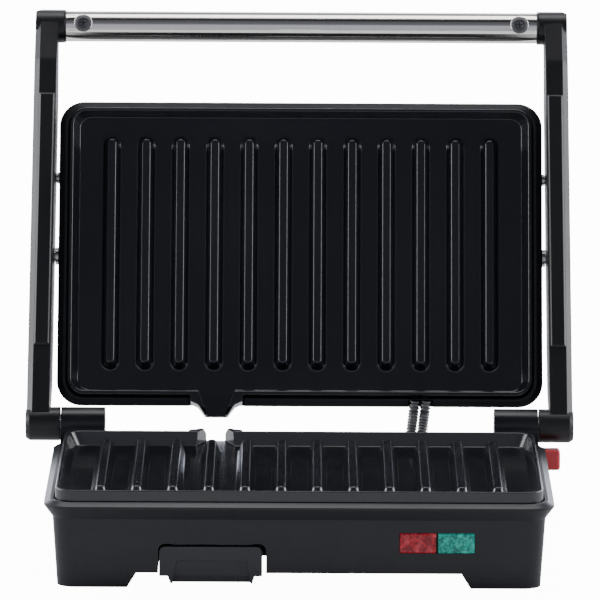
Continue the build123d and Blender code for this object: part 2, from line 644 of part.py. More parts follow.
def base_housing():
    """The moulded lower casing with its flange, feet, hinge lugs, tabs and posts."""
    body = frustum(
        (BODY_FOOT_WIDTH, BODY_FOOT_DEPTH, BODY_RADIUS, 0),
        (BODY_TOP_WIDTH, BODY_TOP_DEPTH, BODY_RADIUS, BODY_TOP_Z),
    )
    flange = frustum(
        (BODY_TOP_WIDTH, BODY_TOP_DEPTH, BODY_RADIUS, BODY_TOP_Z),
        (RIM_WIDTH, RIM_DEPTH, RIM_RADIUS, FLANGE_LOW_Z),
    )
    band = rounded(RIM_WIDTH, RIM_DEPTH, RIM_RADIUS, FLANGE_LOW_Z)
    flange += extrude(band, FLANGE_HIGH_Z - FLANGE_LOW_Z)
    inset = FLANGE_CREST_INSET
    flange += frustum(
        (RIM_WIDTH, RIM_DEPTH, RIM_RADIUS, FLANGE_HIGH_Z),
        (RIM_WIDTH - 2 * inset, RIM_DEPTH - 2 * inset, RIM_RADIUS - inset, FLANGE_CREST_Z),
    )
    foot_y = BODY_FOOT_DEPTH / 2 - FOOT_LENGTH
    feet = None
    for sx in (-1, 1):
        foot = front_shape(
            [
                (sx * FOOT_INNER_X, FOOT_GAP),
                (sx * RIM_WIDTH / 2, FOOT_GAP),
                (sx * RIM_WIDTH / 2, SKIRT_Z),
                (sx * (FOOT_INNER_X - FOOT_SLOPE), SKIRT_Z),
            ],
            -RIM_DEPTH / 2,
            RIM_DEPTH / 2,
        )
        foot -= block(-RIM_WIDTH, RIM_WIDTH, -foot_y, foot_y, 0, SKIRT_Z)
        feet = foot if feet is None else feet + foot
    upper_body = body - block(-RIM_WIDTH, RIM_WIDTH, -RIM_DEPTH, RIM_DEPTH, -1, SKIRT_Z)
    shell = upper_body + flange
    cavity = frustum(
        (
            2 * (body_half_width(SKIRT_Z) - WALL),
            2 * (body_half_depth(SKIRT_Z) - WALL),
            BODY_RADIUS - WALL,
            SKIRT_Z,
        ),
        (BODY_TOP_WIDTH - 2 * WALL, BODY_TOP_DEPTH - 2 * WALL, BODY_RADIUS - WALL, BODY_TOP_Z),
    )
    cavity += extrude(
        rounded(BODY_TOP_WIDTH - 2 * WALL, BODY_TOP_DEPTH - 2 * WALL, BODY_RADIUS - WALL, BODY_TOP_Z),
        SEAT_Z - BODY_TOP_Z,
    )
    cavity += extrude(
        rounded(
            PLATE_WIDTH + 2 * PLATE_CLEARANCE,
            PLATE_DEPTH + 2 * PLATE_CLEARANCE,
            PLATE_RADIUS + PLATE_CLEARANCE,
            SEAT_Z,
        ),
        FLANGE_CREST_Z + 1 - SEAT_Z,
    )
    shell -= cavity
    shell += feet & body
    # a lug with a barrel for each hinge pin, which is also the rear leg
    for sx in (-1, 1):
        low, high = sorted((sx * LUG_INNER_X, sx * LUG_OUTER_X))
        rear = BODY_TOP_DEPTH / 2
        plate_edge = PLATE_DEPTH / 2 + 3 * PLATE_CLEARANCE
        lug = side_shape(
            [
                (rear - WALL - BODY_TAPER, FOOT_GAP),
                (rear - WALL, SEAT_Z),
                (plate_edge, SEAT_Z),
                (plate_edge, HINGE_Z - 1),
                (HINGE_Y, HINGE_Z + 1),
                (HINGE_Y + BARREL_RADIUS - 0.6, HINGE_Z - 4),
                (HINGE_Y + LEG_REACH, SKIRT_Z),
                (HINGE_Y + LEG_REACH - 1, FOOT_GAP),
            ],
            low,
            high,
        )
        lug += rod_x(BARREL_RADIUS, low, high, HINGE_Y, HINGE_Z)
        shell += lug
        shell -= rod_x(HINGE_PIN_RADIUS, low - 1, high + 1, HINGE_Y, HINGE_Z)
    for x, y in PAD_PLACES:
        shell -= rod_z(PAD_RADIUS, 0, FOOT_GAP + PAD_SEAT, x, y)

    # tabs that carry the grill plate, and posts for the bottom cover's screws
    in_wall_x = BODY_TOP_WIDTH / 2 - WALL / 2
    for x, y in corners(BOSS_X, BOSS_Y):
        sx = 1 if x > 0 else -1
        low, high = sorted((x - sx * TAB_HALF, sx * in_wall_x))
        shell += block(low, high, y - TAB_HALF, y + TAB_HALF, TAB_TOP_Z - TAB_THICKNESS, TAB_TOP_Z)
        shell -= rod_z(SCREW_RADIUS + HOLE_CLEARANCE, TAB_TOP_Z - 9, TAB_TOP_Z + 1, x, y)
    for x, y in corners(POST_X, POST_Y):
        sx = 1 if x > 0 else -1
        low, high = sorted((x, sx * (in_wall_x - 1)))
        shell += rod_z(POST_RADIUS, COVER_TOP_Z, POST_TOP_Z, x, y)
        shell += block(low, high, y - POST_RIB / 2, y + POST_RIB / 2, COVER_TOP_Z, POST_TOP_Z)
        shell -= rod_z(SCREW_RADIUS, COVER_LOW_Z, POST_TOP_Z - 3, x, y)

    # openings: lamps, tray tunnel front and rear, spout, conduits, cord and button
    front = -BODY_TOP_DEPTH / 2
    lamps_high_z = LAMP_LOW_Z + LAMP_HEIGHT
    shell -= block(LAMP_LEFT_X, LAMPS_RIGHT_X, front - 5, front + 9, LAMP_LOW_Z, lamps_high_z)
    tunnel = block(TUNNEL_LEFT_X, TUNNEL_RIGHT_X, -RIM_DEPTH, RIM_DEPTH, 0, TUNNEL_ROOF_Z)
    tunnel = fillet(tunnel.edges().filter_by(Axis.Y).group_by(Axis.Z)[-1], TUNNEL_CORNER)
    shell -= tunnel
    shell -= block(
        SPOUT_X - SPOUT_SHOULDER / 2 - PLATE_CLEARANCE,
        SPOUT_X + SPOUT_SHOULDER / 2 + PLATE_CLEARANCE,
        PLATE_DEPTH / 2 - 2,
        RIM_DEPTH,
        SEAT_Z - 2,
        FLANGE_CREST_Z + 1,
    )
    for x in conduit_places(CONDUIT_BASE_X):
        shell -= rod_y(GROMMET_RADIUS, BODY_TOP_DEPTH / 2 - 9, RIM_DEPTH, x, CONDUIT_BASE_Z)
    shell -= rod_y(GLAND_BODY_RADIUS, BODY_TOP_DEPTH / 2 - 9, RIM_DEPTH, GLAND_X, GLAND_Z)
    shell -= button_section(BUTTON_CLEARANCE, LUG_OUTER_X - BUTTON_MOUTH - 1, RIM_WIDTH / 2)
    pocket_end = LUG_OUTER_X - BUTTON_MOUTH
    pocket_start = pocket_end - BUTTON_POCKET
    shell -= button_section(BUTTON_COLLAR + BUTTON_CLEARANCE, pocket_start, pocket_end)
    stem_start = pocket_end - BUTTON_STEM_LENGTH - BUTTON_TRAVEL - BUTTON_CLEARANCE
    shell -= rod_x(BUTTON_STEM_RADIUS + BUTTON_CLEARANCE, stem_start, pocket_end, BUTTON_Y, BUTTON_Z)
    return shell


def button_section(margin, x0, x1):
    """The button's oblong section along X, widened all round by a margin."""
    return block(
        x0,
        x1,
        BUTTON_Y - BUTTON_DEPTH / 2 - margin,
        BUTTON_Y + BUTTON_DEPTH / 2 + margin,
        BUTTON_Z - BUTTON_HEIGHT / 2 - margin,
        BUTTON_Z + BUTTON_HEIGHT / 2 + margin,
    )


def conduit_places(middle):
    """The two conduits' X places about a middle."""
    return (middle - CONDUIT_SPACING / 2, middle + CONDUIT_SPACING / 2)


housing = base_housing()
keep("base_housing", housing)


# ---- bottom cover with the tray's tunnel ----
def bottom_cover():
    """The plate that closes the base, with a roofed tunnel for the drip tray and its two rails."""
    width = 2 * (body_half_width(SKIRT_Z) - WALL - FIT_CLEARANCE)
    depth = 2 * (body_half_depth(SKIRT_Z) - WALL - FIT_CLEARANCE)
    cover = extrude(rounded(width, depth, BODY_RADIUS - WALL, COVER_LOW_Z), COVER_THICKNESS)
    outer_left = TUNNEL_LEFT_X - TUNNEL_WALL
    outer_right = TUNNEL_RIGHT_X + TUNNEL_WALL
    hat_top_z = TUNNEL_ROOF_Z + TUNNEL_WALL
    hat = block(outer_left, outer_right, -depth / 2, depth / 2, COVER_LOW_Z, hat_top_z)
    hat = fillet(hat.edges().filter_by(Axis.Y).group_by(Axis.Z)[-1], TUNNEL_CORNER + TUNNEL_WALL)
    tunnel = block(TUNNEL_LEFT_X, TUNNEL_RIGHT_X, -depth, depth, 0, TUNNEL_ROOF_Z)
    tunnel = fillet(tunnel.edges().filter_by(Axis.Y).group_by(Axis.Z)[-1], TUNNEL_CORNER)
    cover = cover + hat - tunnel
    rail_front = -depth / 2 + RAIL_SETBACK
    for wall_x, inward in ((TUNNEL_LEFT_X, 1), (TUNNEL_RIGHT_X, -1)):
        tray_edge = TRAY_CENTRE_X - inward * TRAY_WIDTH / 2
        low, high = sorted((wall_x - inward * 0.5, tray_edge + inward * RAIL_DEPTH))
        cover += block(low, high, rail_front, depth / 2, RAIL_Z, RAIL_Z + RAIL_HEIGHT)
    for x, y in corners(POST_X, POST_Y):
        cover -= rod_z(SCREW_RADIUS + HOLE_CLEARANCE, 0, COVER_TOP_Z + 1, x, y)
        cover -= rod_z(SCREW_HEAD_RADIUS + HOLE_CLEARANCE, 0, COVER_LOW_Z + COVER_SCREW_SINK, x, y)
    for number in range(VENT_COUNT):
        x = VENT_X + number * VENT_PITCH
        slot = Pos(x, 0, COVER_LOW_Z - 1) * Rot(0, 0, 90) * SlotOverall(VENT_LENGTH, VENT_WIDTH)
        cover -= extrude(slot, COVER_THICKNESS + 2)
    return cover


keep("base_bottom_cover", bottom_cover())
cover_screw_seat = COVER_LOW_Z + COVER_SCREW_SINK
cover_screw_length = POST_TOP_Z - 4 - cover_screw_seat
cover_screws = [
    upright_screw(x, y, cover_screw_seat, cover_screw_length) for x, y in corners(POST_X, POST_Y)
]
keep("bottom_cover_screws", Compound(children=cover_screws))

pads = []
for x, y in PAD_PLACES:
    pad = rod_z(PAD_RADIUS, 0, FOOT_GAP + PAD_SEAT, x, y)
    pads.append(chamfer(pad.faces().sort_by(Axis.Z)[0].edges(), PAD_CHAMFER))
keep("foot_pads", Compound(children=pads))


# ---- drip tray ----
def drip_tray():
    """A long open tray with a flush front panel, a finger recess and side flanges that ride the rails."""
    front_y = TRAY_SETBACK - body_half_depth(TRAY_PANEL_HIGH_Z)
    panel_rear = front_y + TRAY_PANEL_THICKNESS
    left, right = TRAY_LEFT_X, TRAY_RIGHT_X
    panel = block(left, right, front_y, panel_rear, TRAY_PANEL_LOW_Z, TRAY_PANEL_HIGH_Z)
    panel = fillet(panel.edges().filter_by(Axis.Y).group_by(Axis.Z)[-1], TRAY_CORNER)
    lip_left = left + TRAY_LIP_INSET[0]
    lip_right = right - TRAY_LIP_INSET[1]
    lip = front_shape(
        [
            (lip_left, TRAY_PANEL_LOW_Z + 1),
            (lip_left, TRAY_PANEL_LOW_Z),
            (lip_left + TRAY_LIP_TAPER[0], TRAY_LIP_Z),
            (lip_right - TRAY_LIP_TAPER[1], TRAY_LIP_Z),
            (lip_right, TRAY_PANEL_LOW_Z),
            (lip_right, TRAY_PANEL_LOW_Z + 1),
        ],
        front_y,
        panel_rear,
    )
    recess_left = left + TRAY_RECESS_INSET[0]
    recess_right = right - TRAY_RECESS_INSET[1]
    recess = front_shape(
        [
            (recess_left, TRAY_LIP_Z - 1),
            (recess_left + TRAY_RECESS_TAPER[0], TRAY_RECESS_HIGH_Z),
            (recess_right - TRAY_RECESS_TAPER[1], TRAY_RECESS_HIGH_Z),
            (recess_right, TRAY_LIP_Z - 1),
        ],
        front_y - 1,
        panel_rear - TRAY_WALL,
    )
    front = panel + lip - recess
    box_left = left + RAIL_DEPTH + TRAY_SIDE_CLEARANCE
    box_right = right - RAIL_DEPTH - TRAY_SIDE_CLEARANCE
    flange_low = RAIL_Z + RAIL_HEIGHT + TRAY_RAIL_CLEARANCE
    flange_top = flange_low + TRAY_WALL
    box = block(box_left, box_right, front_y + 1, TRAY_REAR_Y, TRAY_PANEL_LOW_Z, flange_top)
    box = fillet(box.edges().filter_by(Axis.Y).group_by(Axis.Z)[0], TRAY_FLOOR_RADIUS)
    flange_left = left + TRAY_RAIL_CLEARANCE
    flange_right = right - TRAY_RAIL_CLEARANCE
    flange = block(flange_left, flange_right, front_y + 1, RAIL_END_Y, flange_low, flange_top)
    hollow = block(
        box_left + TRAY_WALL,
        box_right - TRAY_WALL,
        panel_rear,
        TRAY_REAR_Y - TRAY_WALL,
        TRAY_PANEL_LOW_Z + TRAY_WALL,
        flange_top + 1,
    )
    return front + box + flange - hollow


keep("drip_tray", drip_tray())


# ---- lamps ----
lens_front = -body_half_depth(LAMP_LOW_Z) - LENS_PROUD
lens_low_z = LAMP_LOW_Z + LENS_CLEARANCE
lens_high_z = LAMP_LOW_Z + LAMP_HEIGHT - LENS_CLEARANCE
holder_front = lens_front + LENS_THICKNESS
lamp_lefts = (LAMP_LEFT_X, LAMP_LEFT_X + LAMP_WIDTH + LAMP_GAP)


def lamp_lens(left):
    """A clear cap over one lamp, its front edges eased."""
    low_x = left + LENS_CLEARANCE
    high_x = left + LAMP_WIDTH - LENS_CLEARANCE
    lens = block(low_x, high_x, lens_front, holder_front, lens_low_z, lens_high_z)
    return chamfer(lens.faces().sort_by(Axis.Y)[0].edges(), LENS_CHAMFER)


def lamp_holder():
    """A block behind both lenses with an open cell for each lamp."""
    rear = holder_front + HOLDER_DEPTH
    holder = block(
        LAMP_LEFT_X + LENS_CLEARANCE,
        LAMPS_RIGHT_X - LENS_CLEARANCE,
        holder_front,
        rear,
        lens_low_z,
        lens_high_z,
    )
    for left in lamp_lefts:
        holder -= block(
            left + HOLDER_WALL,
            left + LAMP_WIDTH - HOLDER_WALL,
            holder_front - 1,
            rear - HOLDER_BACK,
            LAMP_LOW_Z + HOLDER_WALL,
            LAMP_LOW_Z + LAMP_HEIGHT - HOLDER_WALL,
        )
    return holder


def indicator_bulb(left):
    """A small neon tube lying in its cell."""
    middle = left + LAMP_WIDTH / 2
    bulb_y = holder_front + BULB_RADIUS + BULB_GAP
    bulb_z = LAMP_LOW_Z + LAMP_HEIGHT / 2
    bulb = rod_x(BULB_RADIUS, middle - BULB_LENGTH / 2, middle + BULB_LENGTH / 2, bulb_y, bulb_z)
    return fillet(bulb.edges(), BULB_RADIUS * 0.7)


keep("power_lamp_lens", lamp_lens(lamp_lefts[0]))
keep("ready_lamp_lens", lamp_lens(lamp_lefts[1]))
keep("lamp_holder", lamp_holder())
keep("indicator_bulbs", Compound(children=[indicator_bulb(left) for left in lamp_lefts]))


# ---- cord gland, conduit grommets and terminal block ----
def cord_gland():
    """A bush in the rear wall with a flange outside and a round bore for the mains cord."""
    wall_y = body_half_depth(GLAND_Z)
    outside = wall_y + GLAND_PROUD
    gland = rod_y(GLAND_BODY_RADIUS, wall_y - WALL - GLAND_INSIDE, outside, GLAND_X, GLAND_Z)
    flange_out, flange_thickness = GLAND_FLANGE
    gland += rod_y(GLAND_BODY_RADIUS + flange_out, outside - flange_thickness, outside, GLAND_X, GLAND_Z)
    return gland - rod_y(GLAND_BORE_RADIUS, 0, RIM_DEPTH, GLAND_X, GLAND_Z)


def base_grommet():
    """A rubber bush in the rear wall that both conduits pass through."""
    wall_y = body_half_depth(CONDUIT_BASE_Z)
    left, right = conduit_places(CONDUIT_BASE_X)
    inside = wall_y - WALL - 2
    outside = wall_y + GROMMET_PROUD
    bush = rod_y(GROMMET_RADIUS, inside, outside, left, CONDUIT_BASE_Z)
    bush += rod_y(GROMMET_RADIUS, inside, outside, right, CONDUIT_BASE_Z)
    for x in (left, right):
        bush -= rod_y(CONDUIT_RADIUS, 0, RIM_DEPTH, x, CONDUIT_BASE_Z)
    return bush


def terminal_block():
    """A ceramic block on the bottom cover with a wire hole and a screw hole for each pole."""
    low_x, high_x = BLOCK_X
    high_y = BODY_FOOT_DEPTH / 2 - BLOCK_REAR_INSET
    low_y = high_y - BLOCK_DEPTH
    wire_z = COVER_TOP_Z + BLOCK_WIRE_Z
    ceramic = block(low_x, high_x, low_y, high_y, COVER_TOP_Z, COVER_TOP_Z + BLOCK_HEIGHT)
    for number in range(BLOCK_POLES):
        x = low_x + (number + 0.5) * (high_x - low_x) / BLOCK_POLES
        ceramic -= rod_y(BLOCK_WIRE_RADIUS, low_y - 1, high_y + 1, x, wire_z)
        ceramic -= rod_z(BLOCK_SCREW_RADIUS, wire_z, COVER_TOP_Z + BLOCK_HEIGHT, x, (low_y + high_y) / 2)
    return ceramic


keep("cord_gland", cord_gland())
keep("base_conduit_grommet", base_grommet())
keep("terminal_block", terminal_block())

# ---- hinge pins ----
pin_end = LUG_OUTER_X + HINGE_SIDE_GAP + HINGE_PIN_REACH
hinge_pin = rod_x(HINGE_PIN_RADIUS, LUG_INNER_X + HINGE_PIN_SETBACK, pin_end, HINGE_Y, HINGE_Z)
hinge_pin = chamfer(hinge_pin.edges().filter_by(GeomType.CIRCLE), HINGE_PIN_CHAMFER)
keep("hinge_pins", Compound(children=[hinge_pin, mirrored(hinge_pin)]))


# ---- release button, in the right side under the hinge ----
def release_button():
    """A rounded push button with a collar that keeps it in and a stem that guides it."""
    collar_end = LUG_OUTER_X - BUTTON_MOUTH
    collar_start = collar_end - BUTTON_COLLAR_THICKNESS
    cap = button_section(0, collar_start, BUTTON_FACE_X)
    cap = fillet(cap.faces().sort_by(Axis.X)[-1].edges(), BUTTON_ROUNDING)
    collar = button_section(BUTTON_COLLAR, collar_start, collar_end)
    stem = rod_x(BUTTON_STEM_RADIUS, collar_end - BUTTON_STEM_LENGTH, collar_start, BUTTON_Y, BUTTON_Z)
    return cap + collar + stem


def button_spring():
    """The coil that pushes the button out again."""
    free = BUTTON_POCKET - BUTTON_COLLAR_THICKNESS - 2 * (SPRING_WIRE + SPRING_GAP)
    start_x = LUG_OUTER_X - BUTTON_MOUTH - BUTTON_POCKET + SPRING_WIRE + SPRING_GAP
    radius = BUTTON_STEM_RADIUS + SPRING_BORE_GAP
    coil = Helix(free / SPRING_TURNS, free, radius)
    wire = sweep(Plane(coil @ 0, z_dir=coil % 0) * Circle(SPRING_WIRE), coil)
    return Pos(start_x, BUTTON_Y, BUTTON_Z) * Rot(0, 90, 0) * wire


keep("release_button", release_button())
keep("button_spring", button_spring())


# ---- lid: rim frame, cover and pins, laid out shut over the base ----
pivot_y = HINGE_Y - PIVOT_DISTANCE
limit_y = HINGE_Y - LIMIT_DISTANCE
pin_z = HINGE_Z + PIVOT_RISE


def lid_outside(z):
    """The lid cover's width and depth at a height, tapering to its crown."""
    share = (z - LID_EDGE_Z) / (LID_TOP_Z - LID_EDGE_Z)
    return (
        RIM_WIDTH + (LID_TOP_WIDTH - RIM_WIDTH) * share,
        RIM_DEPTH + (LID_TOP_DEPTH - RIM_DEPTH) * share,
    )


def lid_slab(inset, z0, z1):
    """The tapered lid volume between two heights, moved in by a wall thickness."""
    low = [size - 2 * inset for size in lid_outside(z0)]
    high = [size - 2 * inset for size in lid_outside(z1)]
    return frustum((*low, RIM_RADIUS - inset, z0), (*high, RIM_RADIUS - inset, z1))


def lid_frame():
    """The ring that holds the upper plate: a sloping rim, tabs for the plate and side bosses."""
    crest_z = LID_CREST_Z
    band_z = crest_z + LID_RIM_RISE
    inset = FLANGE_CREST_INSET
    ring = frustum(
        (RIM_WIDTH - 2 * inset, RIM_DEPTH - 2 * inset, RIM_RADIUS - inset, crest_z),
        (RIM_WIDTH, RIM_DEPTH, RIM_RADIUS, band_z),
    )
    ring += extrude(rounded(RIM_WIDTH, RIM_DEPTH, RIM_RADIUS, band_z), LID_EDGE_Z - band_z)
    ring += lid_slab(0, LID_EDGE_Z, LID_SEAM_Z)
    ring -= extrude(
        rounded(
            PLATE_WIDTH + 2 * PLATE_CLEARANCE,
            PLATE_DEPTH + 2 * PLATE_CLEARANCE,
            PLATE_RADIUS + PLATE_CLEARANCE,
            crest_z - 1,
        ),
        UPPER_SEAT_Z - crest_z + 1,
    )
    window_width = PLATE_WIDTH - 2 * FRAME_BAR
    window_depth = PLATE_DEPTH - 2 * FRAME_BAR
    window_radius = PLATE_RADIUS - FLOOR_RADIUS_INSET
    ring -= extrude(
        rounded(window_width, window_depth, window_radius, UPPER_SEAT_Z - 1), LID_SEAM_Z - UPPER_SEAT_Z + 2
    )
    wall_x = PLATE_WIDTH / 2 - FRAME_BAR / 2
    tab_top_z = UPPER_TAB_Z + TAB_THICKNESS
    for x, y in corners(BOSS_X, BOSS_Y) + corners(BOSS_X, COVER_SCREW_Y):
        sx = 1 if x > 0 else -1
        low, high = sorted((x - sx * TAB_HALF, sx * wall_x))
        ring += block(low, high, y - TAB_HALF, y + TAB_HALF, UPPER_TAB_Z, tab_top_z)
        low, high = sorted((sx * (window_width / 2 - TAB_WEB), sx * wall_x))
        ring += block(low, high, y - TAB_HALF, y + TAB_HALF, UPPER_SEAT_Z, tab_top_z)
        ring -= rod_z(SCREW_RADIUS + HOLE_CLEARANCE, UPPER_TAB_Z - 1, tab_top_z + 1, x, y)
    ring -= block(
        SPOUT_X - SPOUT_SHOULDER / 2 - PLATE_CLEARANCE,
        SPOUT_X + SPOUT_SHOULDER / 2 + PLATE_CLEARANCE,
        PLATE_DEPTH / 2 - 2,
        RIM_DEPTH,
        crest_z - 1,
        UPPER_SEAT_Z + 1,
    )
    ring -= conduit_notch()
    return ring


notch_half = CONDUIT_SPACING / 2 + GROMMET_RADIUS


def conduit_notch():
    """The slot in the lid's rear edge where the conduits come in."""
    low_x = CONDUIT_LID_X - notch_half
    high_x = CONDUIT_LID_X + notch_half
    return block(low_x, high_x, PLATE_DEPTH / 2 + PLATE_CLEARANCE, RIM_DEPTH, 0, NOTCH_Z)


def lid_cover():
    """The outer shell of the lid, with posts for its screws and bosses for the side pins."""
    solid = lid_slab(0, LID_SEAM_Z, LID_TOP_Z)
    solid = fillet(solid.faces().sort_by(Axis.Z)[-1].edges(), LID_CROWN_RADIUS)
    hollow = lid_slab(LID_WALL, LID_SEAM_Z, LID_TOP_Z - LID_WALL)
    hollow = fillet(hollow.faces().sort_by(Axis.Z)[-1].edges(), LID_CROWN_RADIUS - LID_WALL)
    cover = solid - hollow
    tab_top_z = UPPER_TAB_Z + TAB_THICKNESS
    for x, y in corners(BOSS_X, COVER_SCREW_Y):
        cover += rod_z(POST_RADIUS, tab_top_z, LID_TOP_Z - LID_WALL / 2, x, y)
        cover -= rod_z(SCREW_RADIUS, UPPER_TAB_Z, tab_top_z + LID_SCREW_LENGTH, x, y)
    for sx in (-1, 1):
        for y, radius in ((pivot_y, BOSS_PIN_RADIUS), (limit_y, LIMIT_BOSS_RADIUS)):
            post_start = LID_TOP_WIDTH / 2 - PIN_POST_DEPTH
            low, high = sorted((sx * post_start, sx * (RIM_WIDTH / 2 - LID_WALL)))
            post = rod_x(radius + PIN_POST_WALL, low, high, y, pin_z)
            cover += post & lid_slab(0, LID_SEAM_Z, LID_TOP_Z)
            low, high = sorted((sx * (post_start - 1), sx * RIM_WIDTH))
            cover -= rod_x(radius, low, high, y, pin_z)
    return cover


keep("lid_frame", opened(lid_frame()))
keep("lid_cover", opened(lid_cover()))
lid_screws = [
    upright_screw(x, y, UPPER_TAB_Z, TAB_THICKNESS + LID_SCREW_LENGTH - 1)
    for x, y in corners(BOSS_X, COVER_SCREW_Y)
]
keep("lid_cover_screws", opened(Compound(children=lid_screws)))


def arm_inner_x(distance):
    """The arm's inner face, leaning in towards the handle."""
    return ARM_FOOT_INNER_X - ARM_LEAN * distance / TUBE_DISTANCE


def lid_pin(y, boss_radius, journal_radius, distance):
    """A shouldered pin: a boss from the lid to just short of the arm, and a journal inside the arm."""
    face_x = arm_inner_x(distance) - PIN_SIDE_GAP
    pin = rod_x(boss_radius, LID_TOP_WIDTH / 2 - PIN_POST_DEPTH + 1, face_x, y, pin_z)
    return pin + rod_x(journal_radius, face_x - 1, face_x + JOURNAL_DEPTH, y, pin_z)


pivot = lid_pin(pivot_y, BOSS_PIN_RADIUS, PIVOT_JOURNAL_RADIUS, PIVOT_DISTANCE)
limit = lid_pin(limit_y, LIMIT_BOSS_RADIUS, LIMIT_BOSS_RADIUS - LIMIT_SHOULDER, LIMIT_DISTANCE)
keep("lid_pivot_pins", opened(Compound(children=[pivot, mirrored(pivot)])))
keep("lid_limit_pins", opened(Compound(children=[limit, mirrored(limit)])))


# ---- handle frame: arms, strips, tube, collars and screws ----
tube_y = HINGE_Y - TUBE_DISTANCE
tube_z = HINGE_Z + TUBE_RISE
arm_front_z = HINGE_Z + ARM_FRONT


def arm_blade():
    """The arm's side view, through its whole thickness and more."""
    back_z = HINGE_Z + ARM_BACK
    low_x = ARM_FOOT_INNER_X - 3 * ARM_LEAN
    high_x = ARM_FOOT_OUTER_X + 1
    outline = [
        (HINGE_Y, arm_front_z),
        (HINGE_Y - ARM_FRONT_END, arm_front_z),
        (tube_y, tube_z - SOCKET_RADIUS),
        (tube_y, tube_z + SOCKET_RADIUS),
        (HINGE_Y - ARM_BACK_END, back_z),
        (HINGE_Y - ARM_BACK_START, back_z),
        (HINGE_Y, HINGE_Z + BARREL_RADIUS - BARREL_END_PROUD),
    ]
    blade = side_shape(outline, low_x, high_x)
    edges = blade.edges().filter_by(Axis.X)
    shoulders = [edge for edge in edges if tube_y + 1 < edge.center().Y < HINGE_Y - 1]
    return fillet(shoulders, SHOULDER_RADIUS) + rod_x(SOCKET_RADIUS, low_x, high_x, tube_y, tube_z)


def arm_plan():
    """The arm seen from above when shut, leaning in, with its far outer corner cut off."""
    far_y = tube_y - SOCKET_RADIUS - 1
    corner_x = ARM_FOOT_OUTER_X - ARM_LEAN
    outline = [
        (ARM_FOOT_INNER_X, HINGE_Y + 1),
        (ARM_FOOT_OUTER_X, HINGE_Y + 1),
        (corner_x, tube_y - SOCKET_RADIUS + ARM_TOP_CHAMFER),
        (corner_x - 2 * ARM_TOP_CHAMFER, far_y),
        (ARM_FOOT_INNER_X - ARM_LEAN, far_y),
    ]
    return plan_shape(outline, 0, LID_TOP_Z)


def right_arm():
    """The right arm laid out shut: a deep blade from the hinge barrel to the tube socket."""
    arm = arm_blade() & arm_plan()
    arm = chamfer(arm.faces().sort_by(Axis.Z)[0].edges().sort_by(Axis.X)[-1], ARM_CHAMFER)
    barrel_inner = LUG_OUTER_X + HINGE_SIDE_GAP
    barrel_outer = ARM_FOOT_OUTER_X + BARREL_END_PROUD
    barrel = rod_x(BARREL_RADIUS, barrel_inner, barrel_outer, HINGE_Y, HINGE_Z)
    arm += chamfer(barrel.faces().sort_by(Axis.X)[-1].edges(), *BARREL_CHAMFER)
    arm += rod_x(SOCKET_RADIUS, SOCKET_INNER_X, ARM_FOOT_INNER_X + 1, tube_y, tube_z)
    pin_bore_end = pin_end + HINGE_PIN_END_GAP
    arm -= rod_x(HINGE_PIN_RADIUS + RUNNING_CLEARANCE, barrel_inner - 1, pin_bore_end, HINGE_Y, HINGE_Z)
    bore_start = arm_inner_x(PIVOT_DISTANCE) - 5
    bore_end = bore_start + 5 + JOURNAL_DEPTH + JOURNAL_END_GAP
    arm -= rod_x(PIVOT_JOURNAL_RADIUS + RUNNING_CLEARANCE, bore_start, bore_end, pivot_y, pin_z)
    slot_travel = LIMIT_SPACING * math.sin(math.radians(TILT_LIMIT)) + HOLE_CLEARANCE
    slot_radius = LIMIT_BOSS_RADIUS - LIMIT_SHOULDER + HOLE_CLEARANCE
    slot_low, slot_high = pin_z - slot_travel, pin_z + slot_travel
    for end_z in (slot_low, slot_high):
        arm -= rod_x(slot_radius, bore_start, bore_end, limit_y, end_z)
    arm -= block(bore_start, bore_end, limit_y - slot_radius, limit_y + slot_radius, slot_low, slot_high)
    spigot_end = SOCKET_INNER_X + SPIGOT_LENGTH + JOURNAL_END_GAP
    return arm - rod_x(SOCKET_SPIGOT_RADIUS, SOCKET_INNER_X - 1, spigot_end, tube_y, tube_z)


def right_arm_strip():
    """The raised strip on the front of the right arm's middle."""
    far_y = HINGE_Y - STRIP_END
    near_y = HINGE_Y - STRIP_START
    outline = [
        (arm_inner_x(STRIP_END) + STRIP_INSET, far_y),
        (arm_inner_x(STRIP_END) + ARM_FOOT_THICKNESS - ARM_CHAMFER, far_y),
        (arm_inner_x(STRIP_START) + ARM_FOOT_THICKNESS - ARM_CHAMFER, near_y),
        (arm_inner_x(STRIP_START) + STRIP_INSET, near_y),
    ]
    strip = plan_shape(outline, arm_front_z - STRIP_THICKNESS, arm_front_z)
    return chamfer(strip.faces().sort_by(Axis.Z)[0].edges(), STRIP_CHAMFER)


def handle_tube():
    """The stainless tube, with a pressed seat for a screw near each end."""
    end = TUBE_HALF_LENGTH
    tube = rod_x(TUBE_RADIUS, -end, end, tube_y, tube_z)
    tube -= rod_x(TUBE_RADIUS - TUBE_WALL, -end - 1, end + 1, tube_y, tube_z)
    inside = rod_x(TUBE_RADIUS - 0.2, -end, end, tube_y, tube_z)
    for x in (-DIMPLE_X, DIMPLE_X):
        tube += rod_z(DIMPLE_LENGTH / 2, screw_seat_z, screw_seat_z + DIMPLE_FLOOR, x, tube_y) & inside
        tube -= rod_z(DIMPLE_LENGTH / 2 - 1, tube_z - TUBE_RADIUS - 1, screw_seat_z, x, tube_y)
        tube -= rod_z(HANDLE_SCREW_RADIUS + HOLE_CLEARANCE, tube_z - TUBE_RADIUS, tube_z, x, tube_y)
    return tube


